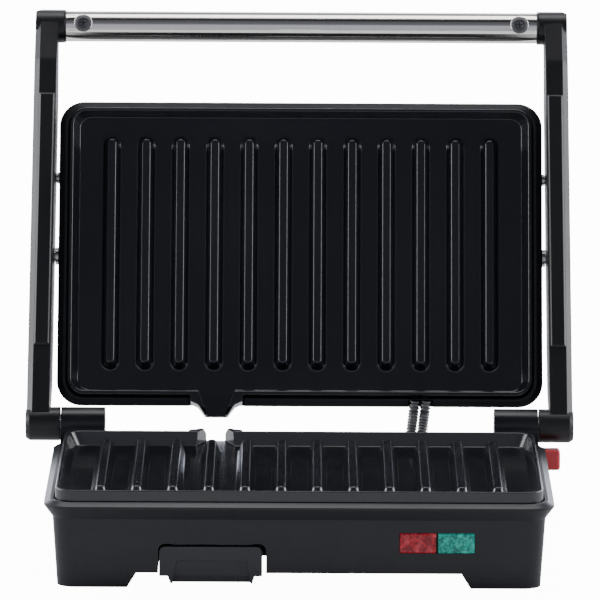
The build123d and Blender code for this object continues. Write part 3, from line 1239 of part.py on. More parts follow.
def handle_end_plug(side):
    """A plug in the tube's end with the collar that shows and a spigot in the arm's socket."""
    tube_end = side * TUBE_HALF_LENGTH
    low, high = sorted((side * (DIMPLE_X - PLUG_INSET), tube_end))
    plug = rod_x(TUBE_RADIUS - TUBE_WALL - PLUG_CLEARANCE, low, high, tube_y, tube_z)
    low, high = sorted((tube_end, side * SOCKET_INNER_X))
    plug += rod_x(SOCKET_RADIUS, low, high, tube_y, tube_z)
    low, high = sorted((tube_end, side * (SOCKET_INNER_X + SPIGOT_LENGTH)))
    plug += rod_x(SOCKET_SPIGOT_RADIUS, low, high, tube_y, tube_z)
    x = side * DIMPLE_X
    half = DIMPLE_LENGTH / 2 + 1.5
    flat_z = screw_seat_z + DIMPLE_FLOOR
    plug -= block(x - half, x + half, tube_y - 9, tube_y + 9, tube_z - TUBE_RADIUS, flat_z)
    return plug - rod_z(HANDLE_SCREW_RADIUS, tube_z - TUBE_RADIUS, tube_z + 3, x, tube_y)


def handle_screw(x):
    """The screw that holds the tube to its plug, its head in the pressed seat."""
    head_low = screw_seat_z - HANDLE_SCREW_HEAD
    head = rod_z(HANDLE_SCREW_HEAD_RADIUS, head_low, screw_seat_z, x, tube_y)
    head = fillet(head.faces().sort_by(Axis.Z)[0].edges(), HANDLE_SCREW_ROUNDING)
    shank = rod_z(HANDLE_SCREW_RADIUS, screw_seat_z, tube_z + 2.5, x, tube_y)
    return head + shank - cross_recess(x, tube_y, head_low)


screw_seat_z = tube_z - TUBE_RADIUS + DIMPLE_DEPTH
arm_shut = right_arm()
strip_shut = right_arm_strip()
keep("arm_right", opened(arm_shut))
keep("arm_left", opened(mirrored(arm_shut)))
keep("arm_strip_right", opened(strip_shut))
keep("arm_strip_left", opened(mirrored(strip_shut)))
keep("handle_tube", opened(handle_tube()))
keep("handle_end_plugs", opened(Compound(children=[handle_end_plug(-1), handle_end_plug(1)])))
keep("handle_screws", opened(Compound(children=[handle_screw(-DIMPLE_X), handle_screw(DIMPLE_X)])))


# ---- wiring conduits from the base to the lid ----
def shut_place(x, distance, rise):
    """Where a point of the shut lid lies when the press stands open."""
    turn = math.radians(-OPEN_ANGLE)
    return (
        x,
        HINGE_Y - distance * math.cos(turn) - rise * math.sin(turn),
        HINGE_Z - distance * math.sin(turn) + rise * math.cos(turn),
    )


entry_distance = HINGE_Y - RIM_DEPTH / 2 + GROMMET_INSET
entry_rise = NOTCH_Z - CONDUIT_RADIUS - CONDUIT_GAP - HINGE_Z
_, entry_y, entry_z = shut_place(0, entry_distance, entry_rise)
turn_y = entry_y - (entry_z - CONDUIT_BASE_Z) * math.tan(math.radians(OPEN_ANGLE - 90))
conduit_ends = zip(conduit_places(CONDUIT_BASE_X), conduit_places(CONDUIT_LID_X))
for name, (base_x, lid_x) in zip(("conduit_left", "conduit_right"), conduit_ends):
    route = FilletPolyline(
        (base_x, BODY_TOP_DEPTH / 2 - 6, CONDUIT_BASE_Z),
        (base_x, turn_y, CONDUIT_BASE_Z),
        shut_place(lid_x, entry_distance, entry_rise),
        radius=CONDUIT_BEND,
    )
    sleeve = sweep(Plane(route @ 0, z_dir=route % 0) * Circle(CONDUIT_RADIUS), route)
    keep(name, sleeve)

# the lid's end of the conduits: a block that fills the inner part of the notch
lid_grommet = block(
    CONDUIT_LID_X - notch_half,
    CONDUIT_LID_X + notch_half,
    PLATE_DEPTH / 2 + PLATE_CLEARANCE,
    HINGE_Y - entry_distance - CONDUIT_GAP,
    LID_CREST_Z + CONDUIT_GAP,
    NOTCH_Z,
)
keep("lid_conduit_grommet", opened(lid_grommet))


# ---- write every piece, moved so that the open press stands about the origin ----
os.makedirs("parts", exist_ok=True)
boxes = [shape.bounding_box() for shape in pieces.values()]
front_y = min(box.min.Y for box in boxes)
rear_y = max(box.max.Y for box in boxes)
middle_y = (front_y + rear_y) / 2
print(f"the origin is {middle_y:.3f} mm behind the middle of the lower grill plate")
for name, shape in pieces.items():
    export_step(Pos(0, -middle_y, 0) * shape, f"parts/{name}.step")
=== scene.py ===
"""Looks of a panini press: finishes, rounded edges, ribs, cable sleeves, lights and camera.

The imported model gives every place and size. Lengths here are in metres.
"""

import logging
import math
from dataclasses import dataclass, field
from enum import Enum
from typing import Callable, Sequence

import bmesh
import bpy
from mathutils import Matrix, Vector


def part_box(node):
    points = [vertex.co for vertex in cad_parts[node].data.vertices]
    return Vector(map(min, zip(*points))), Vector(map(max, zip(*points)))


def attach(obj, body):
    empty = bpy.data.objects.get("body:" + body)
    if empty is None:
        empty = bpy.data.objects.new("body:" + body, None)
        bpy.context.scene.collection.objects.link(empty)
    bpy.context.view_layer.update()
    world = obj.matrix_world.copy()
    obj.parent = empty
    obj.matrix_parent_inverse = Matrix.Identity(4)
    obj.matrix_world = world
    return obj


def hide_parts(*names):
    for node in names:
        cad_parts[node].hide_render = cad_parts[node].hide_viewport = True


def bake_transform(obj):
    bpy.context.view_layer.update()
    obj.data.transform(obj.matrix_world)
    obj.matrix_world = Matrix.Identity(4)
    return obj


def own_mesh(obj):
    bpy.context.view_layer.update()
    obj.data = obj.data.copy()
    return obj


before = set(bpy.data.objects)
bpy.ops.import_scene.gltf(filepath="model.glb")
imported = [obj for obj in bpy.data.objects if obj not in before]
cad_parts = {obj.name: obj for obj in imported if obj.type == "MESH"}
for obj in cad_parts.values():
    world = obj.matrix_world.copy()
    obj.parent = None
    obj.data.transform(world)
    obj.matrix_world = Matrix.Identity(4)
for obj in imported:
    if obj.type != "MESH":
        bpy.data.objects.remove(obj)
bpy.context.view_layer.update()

MM = 0.001
Colour = tuple[float, float, float]
Node = bpy.types.Node
Socket = bpy.types.NodeSocket
Inputs = dict[str | int, object]
Point = tuple[float, float, float]
Mesh = bpy.types.Mesh
Object = bpy.types.Object
BMesh = bmesh.types.BMesh
log = logging.getLogger("panini_press")


class Body(Enum):
    """The moving bodies of the press."""

    BASE = "base"
    HANDLE = "handle_frame"
    LID = "lid"
    TRAY = "drip_tray"
    BUTTON = "release_button"


class Form(Enum):
    """How a length of sheet or tube is covered with repeated pieces."""

    ROW = "row_of_copies"
    PLACES = "copies_at_places"
    SLEEVE = "rings_on_a_path"


# ---- node helpers


@dataclass
class Tree:
    """A node tree with short calls for adding and joining nodes.

    Attributes:
        tree: The tree that the nodes go in.
    """

    tree: bpy.types.NodeTree

    def add(self, kind: str, inputs: Inputs | None = None, **settings: object) -> Node:
        """Adds a node.

        Args:
            kind: The node's type name.
            inputs: What each input is fed, by its name or number.
            **settings: Properties of the node, set by name.

        Returns:
            The new node.
        """
        node = self.tree.nodes.new(kind)
        for name, value in settings.items():
            setattr(node, name, value)
        self.feed(node, inputs or {})
        return node

    def feed(self, node: Node, inputs: Inputs) -> None:
        """Gives a node's inputs their values.

        Args:
            node: The node.
            inputs: A socket to link, a colour or a plain value for each input, by its name or number.
        """
        for key, value in inputs.items():
            socket = node.inputs[key]
            if isinstance(value, Socket):
                self.tree.links.new(value, socket)
            elif value is not None:
                socket.default_value = (*value, 1.0) if socket.type == "RGBA" else value

    def first(self, kind: str) -> Node:
        """Finds the tree's first node of a kind."""
        return next(node for node in self.tree.nodes if node.type == kind)

    def maths(
        self, operation: str, a: object, b: object = None, c: object = None, clamp: bool = False
    ) -> Socket:
        """Adds a Math node.

        Args:
            operation: The operation's name.
            a: First value or socket.
            b: Second value or socket, where there is one.
            c: Third value or socket, where there is one.
            clamp: Keeps the result between 0 and 1.

        Returns:
            The result's socket.
        """
        return self.add("ShaderNodeMath", {0: a, 1: b, 2: c}, operation=operation, use_clamp=clamp).outputs[0]

    def mix(self, share: object, a: object, b: object) -> Socket:
        """Mixes two colours.

        Args:
            share: Socket or number, 0 for the first colour and 1 for the second.
            a: First colour or socket.
            b: Second colour or socket.

        Returns:
            The mixed colour's socket.
        """
        return self.add("ShaderNodeMix", {0: share, 6: a, 7: b}, data_type="RGBA").outputs[2]

    def span(self, value: Socket, low: float, high: float, out_low: float, out_high: float) -> Socket:
        """Maps a value from one range to another, smoothly and clamped.

        Args:
            value: The value's socket.
            low: Start of the range that comes in.
            high: End of the range that comes in.
            out_low: Start of the range that goes out.
            out_high: End of the range that goes out.

        Returns:
            The mapped value's socket.
        """
        inputs = dict(enumerate((value, low, high, out_low, out_high)))
        return self.add("ShaderNodeMapRange", inputs, interpolation_type="SMOOTHSTEP").outputs[0]

    def noise(self, where: Socket, scale: object, detail: float) -> Socket:
        """Adds a noise texture.

        Args:
            where: The pattern's coordinates.
            scale: Waves to a metre, as a number or a socket.
            detail: Number of finer layers.

        Returns:
            The noise's socket, from 0 to 1.
        """
        inputs = {"Vector": where, "Scale": scale, "Detail": detail}
        return self.add("ShaderNodeTexNoise", inputs, noise_dimensions="3D").outputs[0]

    def bump(self, height: Socket, distance: float) -> Socket:
        """Adds a Bump node.

        Args:
            height: The height's socket.
            distance: Depth of the relief, in metres.

        Returns:
            The normal's socket.
        """
        return self.add("ShaderNodeBump", {"Strength": 1.0, "Distance": distance, "Height": height}).outputs[0]


# ---- shared surface effects


def surface_group(
    name: str, inputs: dict[str, float], outputs: Sequence[str], fill: Callable[[Tree, dict, Node], None]
) -> bpy.types.NodeTree:
    """Builds a shader node group with a Vector input and named value sockets.

    Args:
        name: The group's name.
        inputs: Names and first values of its number inputs.
        outputs: Names of its number outputs.
        fill: Adds the nodes, given the tree, the input sockets and the Group Output node.

    Returns:
        The group.
    """
    group = bpy.data.node_groups.new(name, "ShaderNodeTree")
    group.interface.new_socket("Vector", in_out="INPUT", socket_type="NodeSocketVector")
    for label, value in inputs.items():
        socket = group.interface.new_socket(label, in_out="INPUT", socket_type="NodeSocketFloat")
        socket.default_value = value
    for label in outputs:
        group.interface.new_socket(label, in_out="OUTPUT", socket_type="NodeSocketFloat")
    tree = Tree(group)
    source, result = tree.add("NodeGroupInput"), tree.add("NodeGroupOutput")
    fill(tree, {s.name: s for s in source.outputs}, result)
    return group


def fill_grain(tree: Tree, given: dict, made: Node) -> None:
    """Fills the moulded grain group: fine pits over a slow unevenness.

    Args:
        tree: The group's tree.
        given: Its input sockets.
        made: Its Group Output node.
    """
    pit_share, patch_scale = 0.6, 14.0
    where, scale = given["Vector"], given["Scale"]
    pits = tree.add("ShaderNodeTexVoronoi", {"Vector": where, "Scale": scale}, feature="F1")
    fine = tree.noise(where, scale, 3.0)
    height = tree.maths("MULTIPLY_ADD", pits.outputs["Distance"], pit_share, fine)
    tree.feed(made, {"Height": height, "Speck": fine, "Patch": tree.noise(where, patch_scale, 2.0)})


def masked(tree: Tree, given: dict, made: Node, place: Socket, broken: Socket) -> None:
    """Ends a mask group: where it lies, times how it is broken up, times its amount.

    Args:
        tree: The group's tree.
        given: Its input sockets.
        made: Its Group Output node.
        place: How far a point lies in the masked area.
        broken: How far the mask is whole there.
    """
    both = tree.maths("MULTIPLY", place, broken)
    tree.feed(made, {"Mask": tree.maths("MULTIPLY", both, given["Amount"], clamp=True)})


def fill_wear(tree: Tree, given: dict, made: Node) -> None:
    """Fills the edge wear group: a broken mask along the outer edges.

    Args:
        tree: The group's tree.
        given: Its input sockets.
        made: Its Group Output node.
    """
    breaks_scale = 160.0
    shape = tree.add("ShaderNodeNewGeometry")
    edge = tree.span(shape.outputs["Pointiness"], 0.505, 0.60, 0.0, 1.0)
    broken = tree.span(tree.noise(given["Vector"], breaks_scale, 4.0), 0.30, 0.65, 0.35, 1.0)
    masked(tree, given, made, edge, broken)


def fill_dust(tree: Tree, given: dict, made: Node) -> None:
    """Fills the dust group: a light film on faces that look up.

    Args:
        tree: The group's tree.
        given: Its input sockets.
        made: Its Group Output node.
    """
    cloud_scale = 45.0
    shape = tree.add("ShaderNodeNewGeometry")
    parts = tree.add("ShaderNodeSeparateXYZ", {0: shape.outputs["Normal"]})
    upward = tree.span(parts.outputs[2], 0.2, 1.0, 0.0, 1.0)
    film = tree.span(tree.noise(given["Vector"], cloud_scale, 6.0), 0.38, 0.72, 0.0, 1.0)
    masked(tree, given, made, upward, film)


@dataclass
class SurfaceEffects:
    """The shader groups that more than one finish uses.

    Attributes:
        grain: Moulded grain and unevenness.
        wear: Rubbed outer edges.
        dust: Film on faces that look up.
    """

    grain: bpy.types.NodeTree = field(init=False)
    wear: bpy.types.NodeTree = field(init=False)
    dust: bpy.types.NodeTree = field(init=False)

    def __post_init__(self) -> None:
        """Builds each group once."""
        grain_outputs = ("Height", "Speck", "Patch")
        self.grain = surface_group("moulded_grain", {"Scale": 900.0}, grain_outputs, fill_grain)
        self.wear = surface_group("edge_wear", {"Amount": 0.5}, ("Mask",), fill_wear)
        self.dust = surface_group("light_dust", {"Amount": 0.1}, ("Mask",), fill_dust)


# ---- finishes


COAT_ROUGHNESS = 0.12
DUST_COLOUR: Colour = (0.30, 0.29, 0.28)
DUST_DULLING = 0.4


@dataclass(frozen=True)
class Finish:
    """An opaque finish with grain, uneven gloss, worn edges and dust.

    Attributes:
        name: The record's slot that the finish is for.
        colour: Main colour, linear.
        second: Colour of the darker or lighter patches.
        worn: Colour of rubbed edges.
        roughness: Roughness where the surface is cleanest.
        spread: How much rougher the dull patches are.
        metallic: 1 for bare metal.
        coat: Weight of a clear coat.
        specular: Strength of the plain reflection.
        grain: Grains to a metre.
        depth: Depth of the grain, in metres.
        stretch: How much the pattern is drawn out along each axis.
        wear: Amount of edge wear.
        dust: Amount of dust.
        speck: How far the colour follows the grain.
    """

    name: str
    colour: Colour
    second: Colour
    worn: Colour
    roughness: float
    spread: float = 0.1
    metallic: float = 0.0
    coat: float = 0.0
    specular: float = 0.5
    grain: float = 900.0
    depth: float = 0.00002
    stretch: Colour = (1.0, 1.0, 1.0)
    wear: float = 0.4
    dust: float = 0.05
    speck: float = 0.25

    def shader(self) -> tuple[bpy.types.Material, Tree, Node, Socket]:
        """Starts the material.

        Returns:
            The material, its tree, its main shader and the pattern's coordinates.
        """
        material = bpy.data.materials.new(f"finish_{self.name}")
        material.use_nodes = True
        tree = Tree(material.node_tree)
        main = tree.first("BSDF_PRINCIPLED")
        where = tree.add("ShaderNodeTexCoord").outputs["Object"]
        place = tree.add("ShaderNodeMapping", {"Vector": where, "Scale": self.stretch})
        tree.feed(main, {
            "Metallic": self.metallic, "Coat Weight": self.coat, "Coat Roughness": COAT_ROUGHNESS,
            "Specular IOR Level": self.specular,
        })
        return material, tree, main, place.outputs[0]

    def effect(self, tree: Tree, group: bpy.types.NodeTree, where: Socket, **values: float) -> Node:
        """Places a shared effect in the material.

        Args:
            tree: The material's tree.
            group: The effect's group.
            where: The pattern's coordinates.
            **values: The group's number inputs.

        Returns:
            The group's node.
        """
        return tree.add("ShaderNodeGroup", {"Vector": where, **values}, node_tree=group)

    def build(self, effects: SurfaceEffects) -> bpy.types.Material:
        """Builds the material.

        Args:
            effects: The shared shader groups.

        Returns:
            The material.
        """
        material, tree, main, where = self.shader()
        grain = self.effect(tree, effects.grain, where, Scale=self.grain)
        wear = self.effect(tree, effects.wear, where, Amount=self.wear)
        dust = self.effect(tree, effects.dust, where, Amount=self.dust)
        patch = tree.span(grain.outputs["Patch"], 0.35, 0.65, 0.0, 1.0)
        speck = tree.span(grain.outputs["Speck"], 0.35, 0.70, 0.0, self.speck)
        colour = tree.mix(patch, self.colour, self.second)
        colour = tree.mix(speck, colour, self.worn)
        colour = tree.mix(wear.outputs["Mask"], colour, self.worn)
        colour = tree.mix(dust.outputs["Mask"], colour, DUST_COLOUR)
        dulled = tree.maths("MULTIPLY_ADD", dust.outputs["Mask"], DUST_DULLING, self.roughness)
        uneven = tree.span(grain.outputs["Patch"], 0.3, 0.7, 0.0, self.spread)
        tree.feed(main, {
            "Base Color": colour, "Roughness": tree.maths("ADD", dulled, uneven, clamp=True),
            "Normal": tree.bump(grain.outputs["Height"], self.depth),
        })
        return material


@dataclass(frozen=True)
class LensFinish(Finish):
    """A translucent lamp lens with small facets and a soft glow.

    Attributes:
        glow: Colour of the brighter facets.
        facets: Facets to a metre.
        cloud: Brighter clouds to a metre.
        lit: Strength of the glow.
        clear: How much light goes through.
    """

    glow: Colour = (1.0, 1.0, 1.0)
    facets: float = 620.0
    cloud: float = 260.0
    lit: float = 0.30
    clear: float = 0.15

    def build(self, effects: SurfaceEffects) -> bpy.types.Material:
        """Builds the lens material.

        Args:
            effects: The shared shader groups.

        Returns:
            The material.
        """
        material, tree, main, where = self.shader()
        facets = tree.add("ShaderNodeTexVoronoi", {"Vector": where, "Scale": self.facets}, feature="F1")
        grain = self.effect(tree, effects.grain, where, Scale=self.cloud)
        spot = tree.span(facets.outputs["Distance"], 0.15, 0.75, 1.0, 0.0)
        bright = tree.span(grain.outputs["Speck"], 0.45, 0.72, 0.0, 0.55)
        colour = tree.mix(bright, tree.mix(spot, self.second, self.colour), self.glow)
        tree.feed(main, {
            "Base Color": colour, "Emission Color": colour, "Emission Strength": self.lit,
            "Transmission Weight": self.clear, "Roughness": self.roughness,
            "Normal": tree.bump(facets.outputs["Distance"], self.depth),
        })
        return material


@dataclass(frozen=True)
class GlassFinish(Finish):
    """Clear bulb glass with faint streaks.

    Attributes:
        clear: How much light goes through.
    """

    clear: float = 0.85

    def build(self, effects: SurfaceEffects) -> bpy.types.Material:
        """Builds the glass material.

        Args:
            effects: The shared shader groups.

        Returns:
            The material.
        """
        material, tree, main, where = self.shader()
        grain = self.effect(tree, effects.grain, where, Scale=self.grain)
        tree.feed(main, {
            "Base Color": tree.mix(grain.outputs["Speck"], self.colour, self.second),
            "Roughness": tree.span(grain.outputs["Patch"], 0.3, 0.7, 0.03, 0.12),
            "Transmission Weight": self.clear,
        })
        return material


FINISHES: tuple[Finish, ...] = (
    Finish("case_plastic", (0.0034, 0.0038, 0.0062), (0.0042, 0.0047, 0.0074), (0.020, 0.021, 0.026), 0.27, 0.08,
        coat=0.05, specular=0.35, grain=1500.0, depth=0.000012, wear=0.30, dust=0.015, speck=0.05),
    # Lighter copy of case_plastic with a satin roughness: its colour is raised as painted light, so the lid frame's
    # sides and the tray front look lit.
    Finish("case_satin", (0.0115, 0.0120, 0.0150), (0.0135, 0.0140, 0.0175), (0.040, 0.041, 0.048), 0.48, 0.08,
        specular=0.6, grain=1500.0, depth=0.000012, wear=0.30, dust=0.015, speck=0.05),
    Finish("arm_plastic", (0.0042, 0.0042, 0.0046), (0.0054, 0.0054, 0.0058), (0.022, 0.022, 0.025), 0.34, 0.08,
        coat=0.05, specular=0.4, grain=1500.0, depth=0.000016, wear=0.35, dust=0.015, speck=0.06),
    Finish("cover_plastic", (0.0100, 0.0102, 0.0110), (0.0140, 0.0142, 0.0150), (0.050, 0.050, 0.054), 0.45, 0.12,
        grain=1100.0, depth=0.00003, wear=0.3, dust=0.04, speck=0.1),
    Finish("nonstick", (0.0050, 0.0052, 0.0080), (0.0066, 0.0068, 0.0098), (0.050, 0.050, 0.058), 0.19, 0.08,
        coat=0.35, grain=1900.0, wear=0.18, dust=0.01, speck=0.10),
    Finish("stainless", (0.80, 0.76, 0.71), (0.86, 0.82, 0.77), (0.92, 0.90, 0.86), 0.11, 0.05, metallic=1.0,
        grain=2600.0, depth=0.000006, stretch=(0.02, 1.0, 1.0), wear=0.1, dust=0.0, speck=0.15),
    Finish("conduit_steel", (0.30, 0.30, 0.295), (0.38, 0.38, 0.37), (0.62, 0.62, 0.60), 0.28, 0.10, metallic=1.0,
        grain=900.0, wear=0.5, dust=0.0, speck=0.2),
    Finish("dark_screw", (0.060, 0.060, 0.064), (0.085, 0.085, 0.090), (0.30, 0.30, 0.30), 0.35, 0.12,
        metallic=0.8, grain=1400.0, wear=0.5, dust=0.0),
    Finish("zinc_screw", (0.52, 0.52, 0.50), (0.60, 0.58, 0.52), (0.80, 0.80, 0.78), 0.30, 0.15, metallic=1.0,
        grain=700.0, wear=0.4),
    Finish("bright_steel", (0.45, 0.45, 0.45), (0.52, 0.52, 0.52), (0.75, 0.75, 0.75), 0.22, 0.12, metallic=1.0,
        grain=1200.0, depth=0.00001, wear=0.4),
    Finish("sheet_steel", (0.50, 0.50, 0.50), (0.58, 0.58, 0.57), (0.72, 0.72, 0.72), 0.32, 0.15, metallic=1.0,
        grain=500.0, stretch=(0.2, 1.0, 1.0), wear=0.3),
    Finish("element_sheath", (0.18, 0.16, 0.15), (0.26, 0.23, 0.20), (0.42, 0.38, 0.34), 0.50, 0.20, metallic=0.7,
        grain=800.0, depth=0.00004, wear=0.3),
    Finish("ceramic_white", (0.70, 0.68, 0.62), (0.78, 0.76, 0.71), (0.85, 0.83, 0.80), 0.45, 0.15, grain=600.0,
        depth=0.00004, wear=0.2),
    Finish("fuse_sleeve", (0.62, 0.60, 0.52), (0.70, 0.68, 0.60), (0.80, 0.78, 0.72), 0.60, 0.15, grain=1800.0,
        depth=0.00008, stretch=(3.0, 1.0, 1.0), wear=0.1),
    Finish("red_button", (0.46, 0.006, 0.014), (0.56, 0.010, 0.020), (0.75, 0.08, 0.08), 0.28, 0.10, coat=0.3,
        grain=1100.0, wear=0.25, dust=0.01, speck=0.08),
    Finish("black_rubber", (0.016, 0.016, 0.017), (0.024, 0.024, 0.025), (0.06, 0.06, 0.06), 0.70, 0.15,
        specular=0.35, grain=800.0, depth=0.00006, wear=0.3, dust=0.10, speck=0.15),
    LensFinish("red_lens", (0.42, 0.006, 0.016), (0.14, 0.003, 0.008), (0.8, 0.2, 0.2), 0.25, coat=0.15,
        specular=0.3, depth=0.0002, glow=(0.66, 0.07, 0.09)),
    LensFinish("green_lens", (0.0, 0.36, 0.27), (0.0, 0.12, 0.10), (0.2, 0.8, 0.6), 0.25, coat=0.15, specular=0.3,
        depth=0.0002, glow=(0.05, 0.68, 0.52)),
    GlassFinish("bulb_glass", (0.95, 0.97, 0.97), (0.88, 0.92, 0.92), (1.0, 1.0, 1.0), 0.05, grain=300.0),
)


# ---- repeated pieces


@dataclass
class RepeatTree:
    """A Geometry Nodes tree that repeats a piece.

    Attributes:
        form: How the piece is repeated.
        tree: The Geometry Nodes tree.
        kit: Its short calls.
    """

    form: Form
    tree: bpy.types.NodeTree = field(init=False)
    kit: Tree = field(init=False)

    def __post_init__(self) -> None:
        """Builds the tree for its form."""
        self.tree = bpy.data.node_groups.new(self.form.value, "GeometryNodeTree")
        for way in ("INPUT", "OUTPUT"):
            self.tree.interface.new_socket("Geometry", in_out=way, socket_type="NodeSocketGeometry")
        self.kit = Tree(self.tree)
        makers = {Form.ROW: self.row, Form.PLACES: self.places, Form.SLEEVE: self.sleeve}
        made, given = makers[self.form]()
        real = self.kit.add("GeometryNodeRealizeInstances", {0: made})
        dressed = {"Geometry": real.outputs[0], "Material": given["Finish"]}
        self.kit.add("NodeGroupOutput", {0: self.kit.add("GeometryNodeSetMaterial", dressed).outputs[0]})

    def inputs(self, **kinds: str) -> dict[str, Socket]:
        """Adds the named inputs.

        Args:
            **kinds: Socket kind for each name, where "_" stands for a space.

        Returns:
            The inputs' sockets by name.
        """
        for name, kind in {**kinds, "Finish": "Material"}.items():
            label = name.replace("_", " ")
            self.tree.interface.new_socket(label, in_out="INPUT", socket_type=f"NodeSocket{kind}")
        return {socket.name: socket for socket in self.kit.add("NodeGroupInput").outputs}

    def row(self) -> tuple[Socket, dict[str, Socket]]:
        """Repeats the piece along a straight row.

        Returns:
            The instances' socket and the inputs' sockets by name.
        """
        given = self.inputs(Count="Int", First="Vector", Step="Vector")
        spaced = {"Count": given["Count"], "Start Location": given["First"], "Offset": given["Step"]}
        line = self.kit.add("GeometryNodeMeshLine", spaced, mode="OFFSET")
        placed = {"Points": line.outputs[0], "Instance": given["Geometry"]}
        return self.kit.add("GeometryNodeInstanceOnPoints", placed).outputs[0], given

    def places(self) -> tuple[Socket, dict[str, Socket]]:
        """Puts a copy of another object's shape at each point.

        Returns:
            The instances' socket and the inputs' sockets by name.
        """
        given = self.inputs(Piece="Object")
        piece = self.kit.add("GeometryNodeObjectInfo", {"Object": given["Piece"]}, transform_space="ORIGINAL")
        placed = {"Points": given["Geometry"], "Instance": piece.outputs["Geometry"]}
        return self.kit.add("GeometryNodeInstanceOnPoints", placed).outputs[0], given

    def swept(self, path: Socket, radius: Socket, sides: int, caps: bool = False) -> Socket:
        """Sweeps a circle along a path.

        Args:
            path: The path's socket.
            radius: The circle's radius.
            sides: The circle's number of sides.
            caps: Closes the ends.

        Returns:
            The tube's socket.
        """
        swept = {"Curve": path, "Profile Curve": self.circle(radius, sides), "Fill Caps": caps}
        return self.kit.add("GeometryNodeCurveToMesh", swept).outputs[0]

    def circle(self, radius: Socket, sides: int) -> Socket:
        """Adds a circle and gives its socket."""
        round_it = {"Radius": radius, "Resolution": sides}
        return self.kit.add("GeometryNodeCurvePrimitiveCircle", round_it, mode="RADIUS").outputs["Curve"]

    def sleeve(self) -> tuple[Socket, dict[str, Socket]]:
        """Covers a path with close rings over a plain core.

        Returns:
            The joined geometry's socket and the inputs' sockets by name.
        """
        ring_sides, wire_sides, core_sides, core_share = 20, 6, 16, 0.90
        given = self.inputs(Ring_Radius="Float", Wire_Radius="Float", Pitch="Float")
        path = self.kit.add("GeometryNodeMeshToCurve", {0: given["Geometry"]}).outputs[0]
        spaced = {"Curve": path, "Length": given["Pitch"]}
        even = self.kit.add("GeometryNodeResampleCurve", spaced, mode="LENGTH").outputs[0]
        ring = self.swept(self.circle(given["Ring Radius"], ring_sides), given["Wire Radius"], wire_sides)
        along = {"Vector": self.kit.add("GeometryNodeInputTangent").outputs[0]}
        turn = self.kit.add("FunctionNodeAlignRotationToVector", along, axis="Z", pivot_axis="AUTO").outputs[0]
        rings = self.kit.add("GeometryNodeInstanceOnPoints", {"Points": even, "Instance": ring, "Rotation": turn})
        core_radius = self.kit.maths("MULTIPLY", given["Ring Radius"], core_share)
        both = self.kit.add("GeometryNodeJoinGeometry", {0: self.swept(even, core_radius, core_sides, True)})
        self.kit.feed(both, {0: rings.outputs[0]})
        return both.outputs[0], given

    def apply(self, obj: Object, **values: object) -> Mesh:
        """Runs the tree on an object and gives the plain mesh.

        Args:
            obj: The object that the tree starts from, which is removed with its modifier.
            **values: Input values by name, where "_" stands for a space.

        Returns:
            The finished mesh.
        """
        modifier = obj.modifiers.new("repeat", "NODES")
        modifier.node_group = self.tree
        ids = {s.name: s.identifier for s in self.tree.interface.items_tree if s.in_out == "INPUT"}
        for name, value in values.items():
            modifier[ids[name.replace("_", " ")]] = value
        return settled_mesh(obj)


# ---- mesh helpers


MERGE_DISTANCE = 0.004 * MM
SHARP_ANGLE = 50.0


def settled_mesh(obj: Object) -> Mesh:
    """Gives an object's mesh with its modifiers applied.

    Args:
        obj: The object, which is removed.

    Returns:
        A new mesh.
    """
    bpy.context.view_layer.update()
    graph = bpy.context.evaluated_depsgraph_get()
    seen = obj.evaluated_get(graph)
    made = bpy.data.meshes.new_from_object(seen, preserve_all_data_layers=True, depsgraph=graph)
    bpy.data.objects.remove(obj)
    return made


def linked(name: str, data: bpy.types.ID) -> Object:
    """Makes an object from a mesh, a light or a camera and links it to the scene."""
    obj = bpy.data.objects.new(name, data)
    bpy.context.scene.collection.objects.link(obj)
    return obj


def plain_mesh(shape: BMesh, name: str) -> Mesh:
    """Turns a shape into a mesh with smooth shading, and frees the shape."""
    mesh = bpy.data.meshes.new(name)
    shape.to_mesh(mesh)
    shape.free()
    mesh.shade_smooth()
    return mesh


def merged_mesh(node: str) -> BMesh:
    """Copies a CAD node's mesh and merges its loose triangles.

    Args:
        node: The node's name.

    Returns:
        The merged copy.
    """
    shape = bmesh.new()
    shape.from_mesh(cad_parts[node].data)
    bmesh.ops.remove_doubles(shape, verts=shape.verts, dist=MERGE_DISTANCE)
    return shape


def evened(mesh: Mesh, name: str) -> Mesh:
    """Keeps the shading of flat faces flat beside rounded edges.

    Args:
        mesh: The mesh to shade.
        name: The new mesh's name.

    Returns:
        The same shape with smooth, weighted normals.
    """
    mesh.shade_smooth()
    mesh.set_sharp_from_angle(angle=math.radians(SHARP_ANGLE))
    holder = linked(f"{name}_holder", mesh)
    even = holder.modifiers.new("shading", "WEIGHTED_NORMAL")
    even.weight = 100
    even.keep_sharp = True
    made = settled_mesh(holder)
    made.name = name
    return made


def rounded(shape: BMesh, name: str, width: float, segments: int = 2, angle: float = 28.0) -> Mesh:
    """Rounds the sharp edges of a merged shape.

    Args:
        shape: The shape, which is freed.
        name: The new mesh's name.
        width: Width of the rounding, in metres.
        segments: Faces across the rounding.
        angle: Only edges sharper than this are rounded, in degrees.

    Returns:
        The rounded mesh, with smooth shading.
    """
    reach = [[pick(v.co[k] for v in shape.verts) for k in range(3)] for pick in (min, max)]
    holder = linked(f"{name}_holder", plain_mesh(shape, name))
    bevel = holder.modifiers.new("edges", "BEVEL")
    bevel.limit_method = "ANGLE"
    bevel.angle_limit = math.radians(angle)
    bevel.width = width
    bevel.segments = segments
    bevel.use_clamp_overlap = False
    made = settled_mesh(holder)
    for vert in made.vertices:
        vert.co = [min(max(vert.co[k], reach[0][k]), reach[1][k]) for k in range(3)]
    return evened(made, name)


# ---- the press


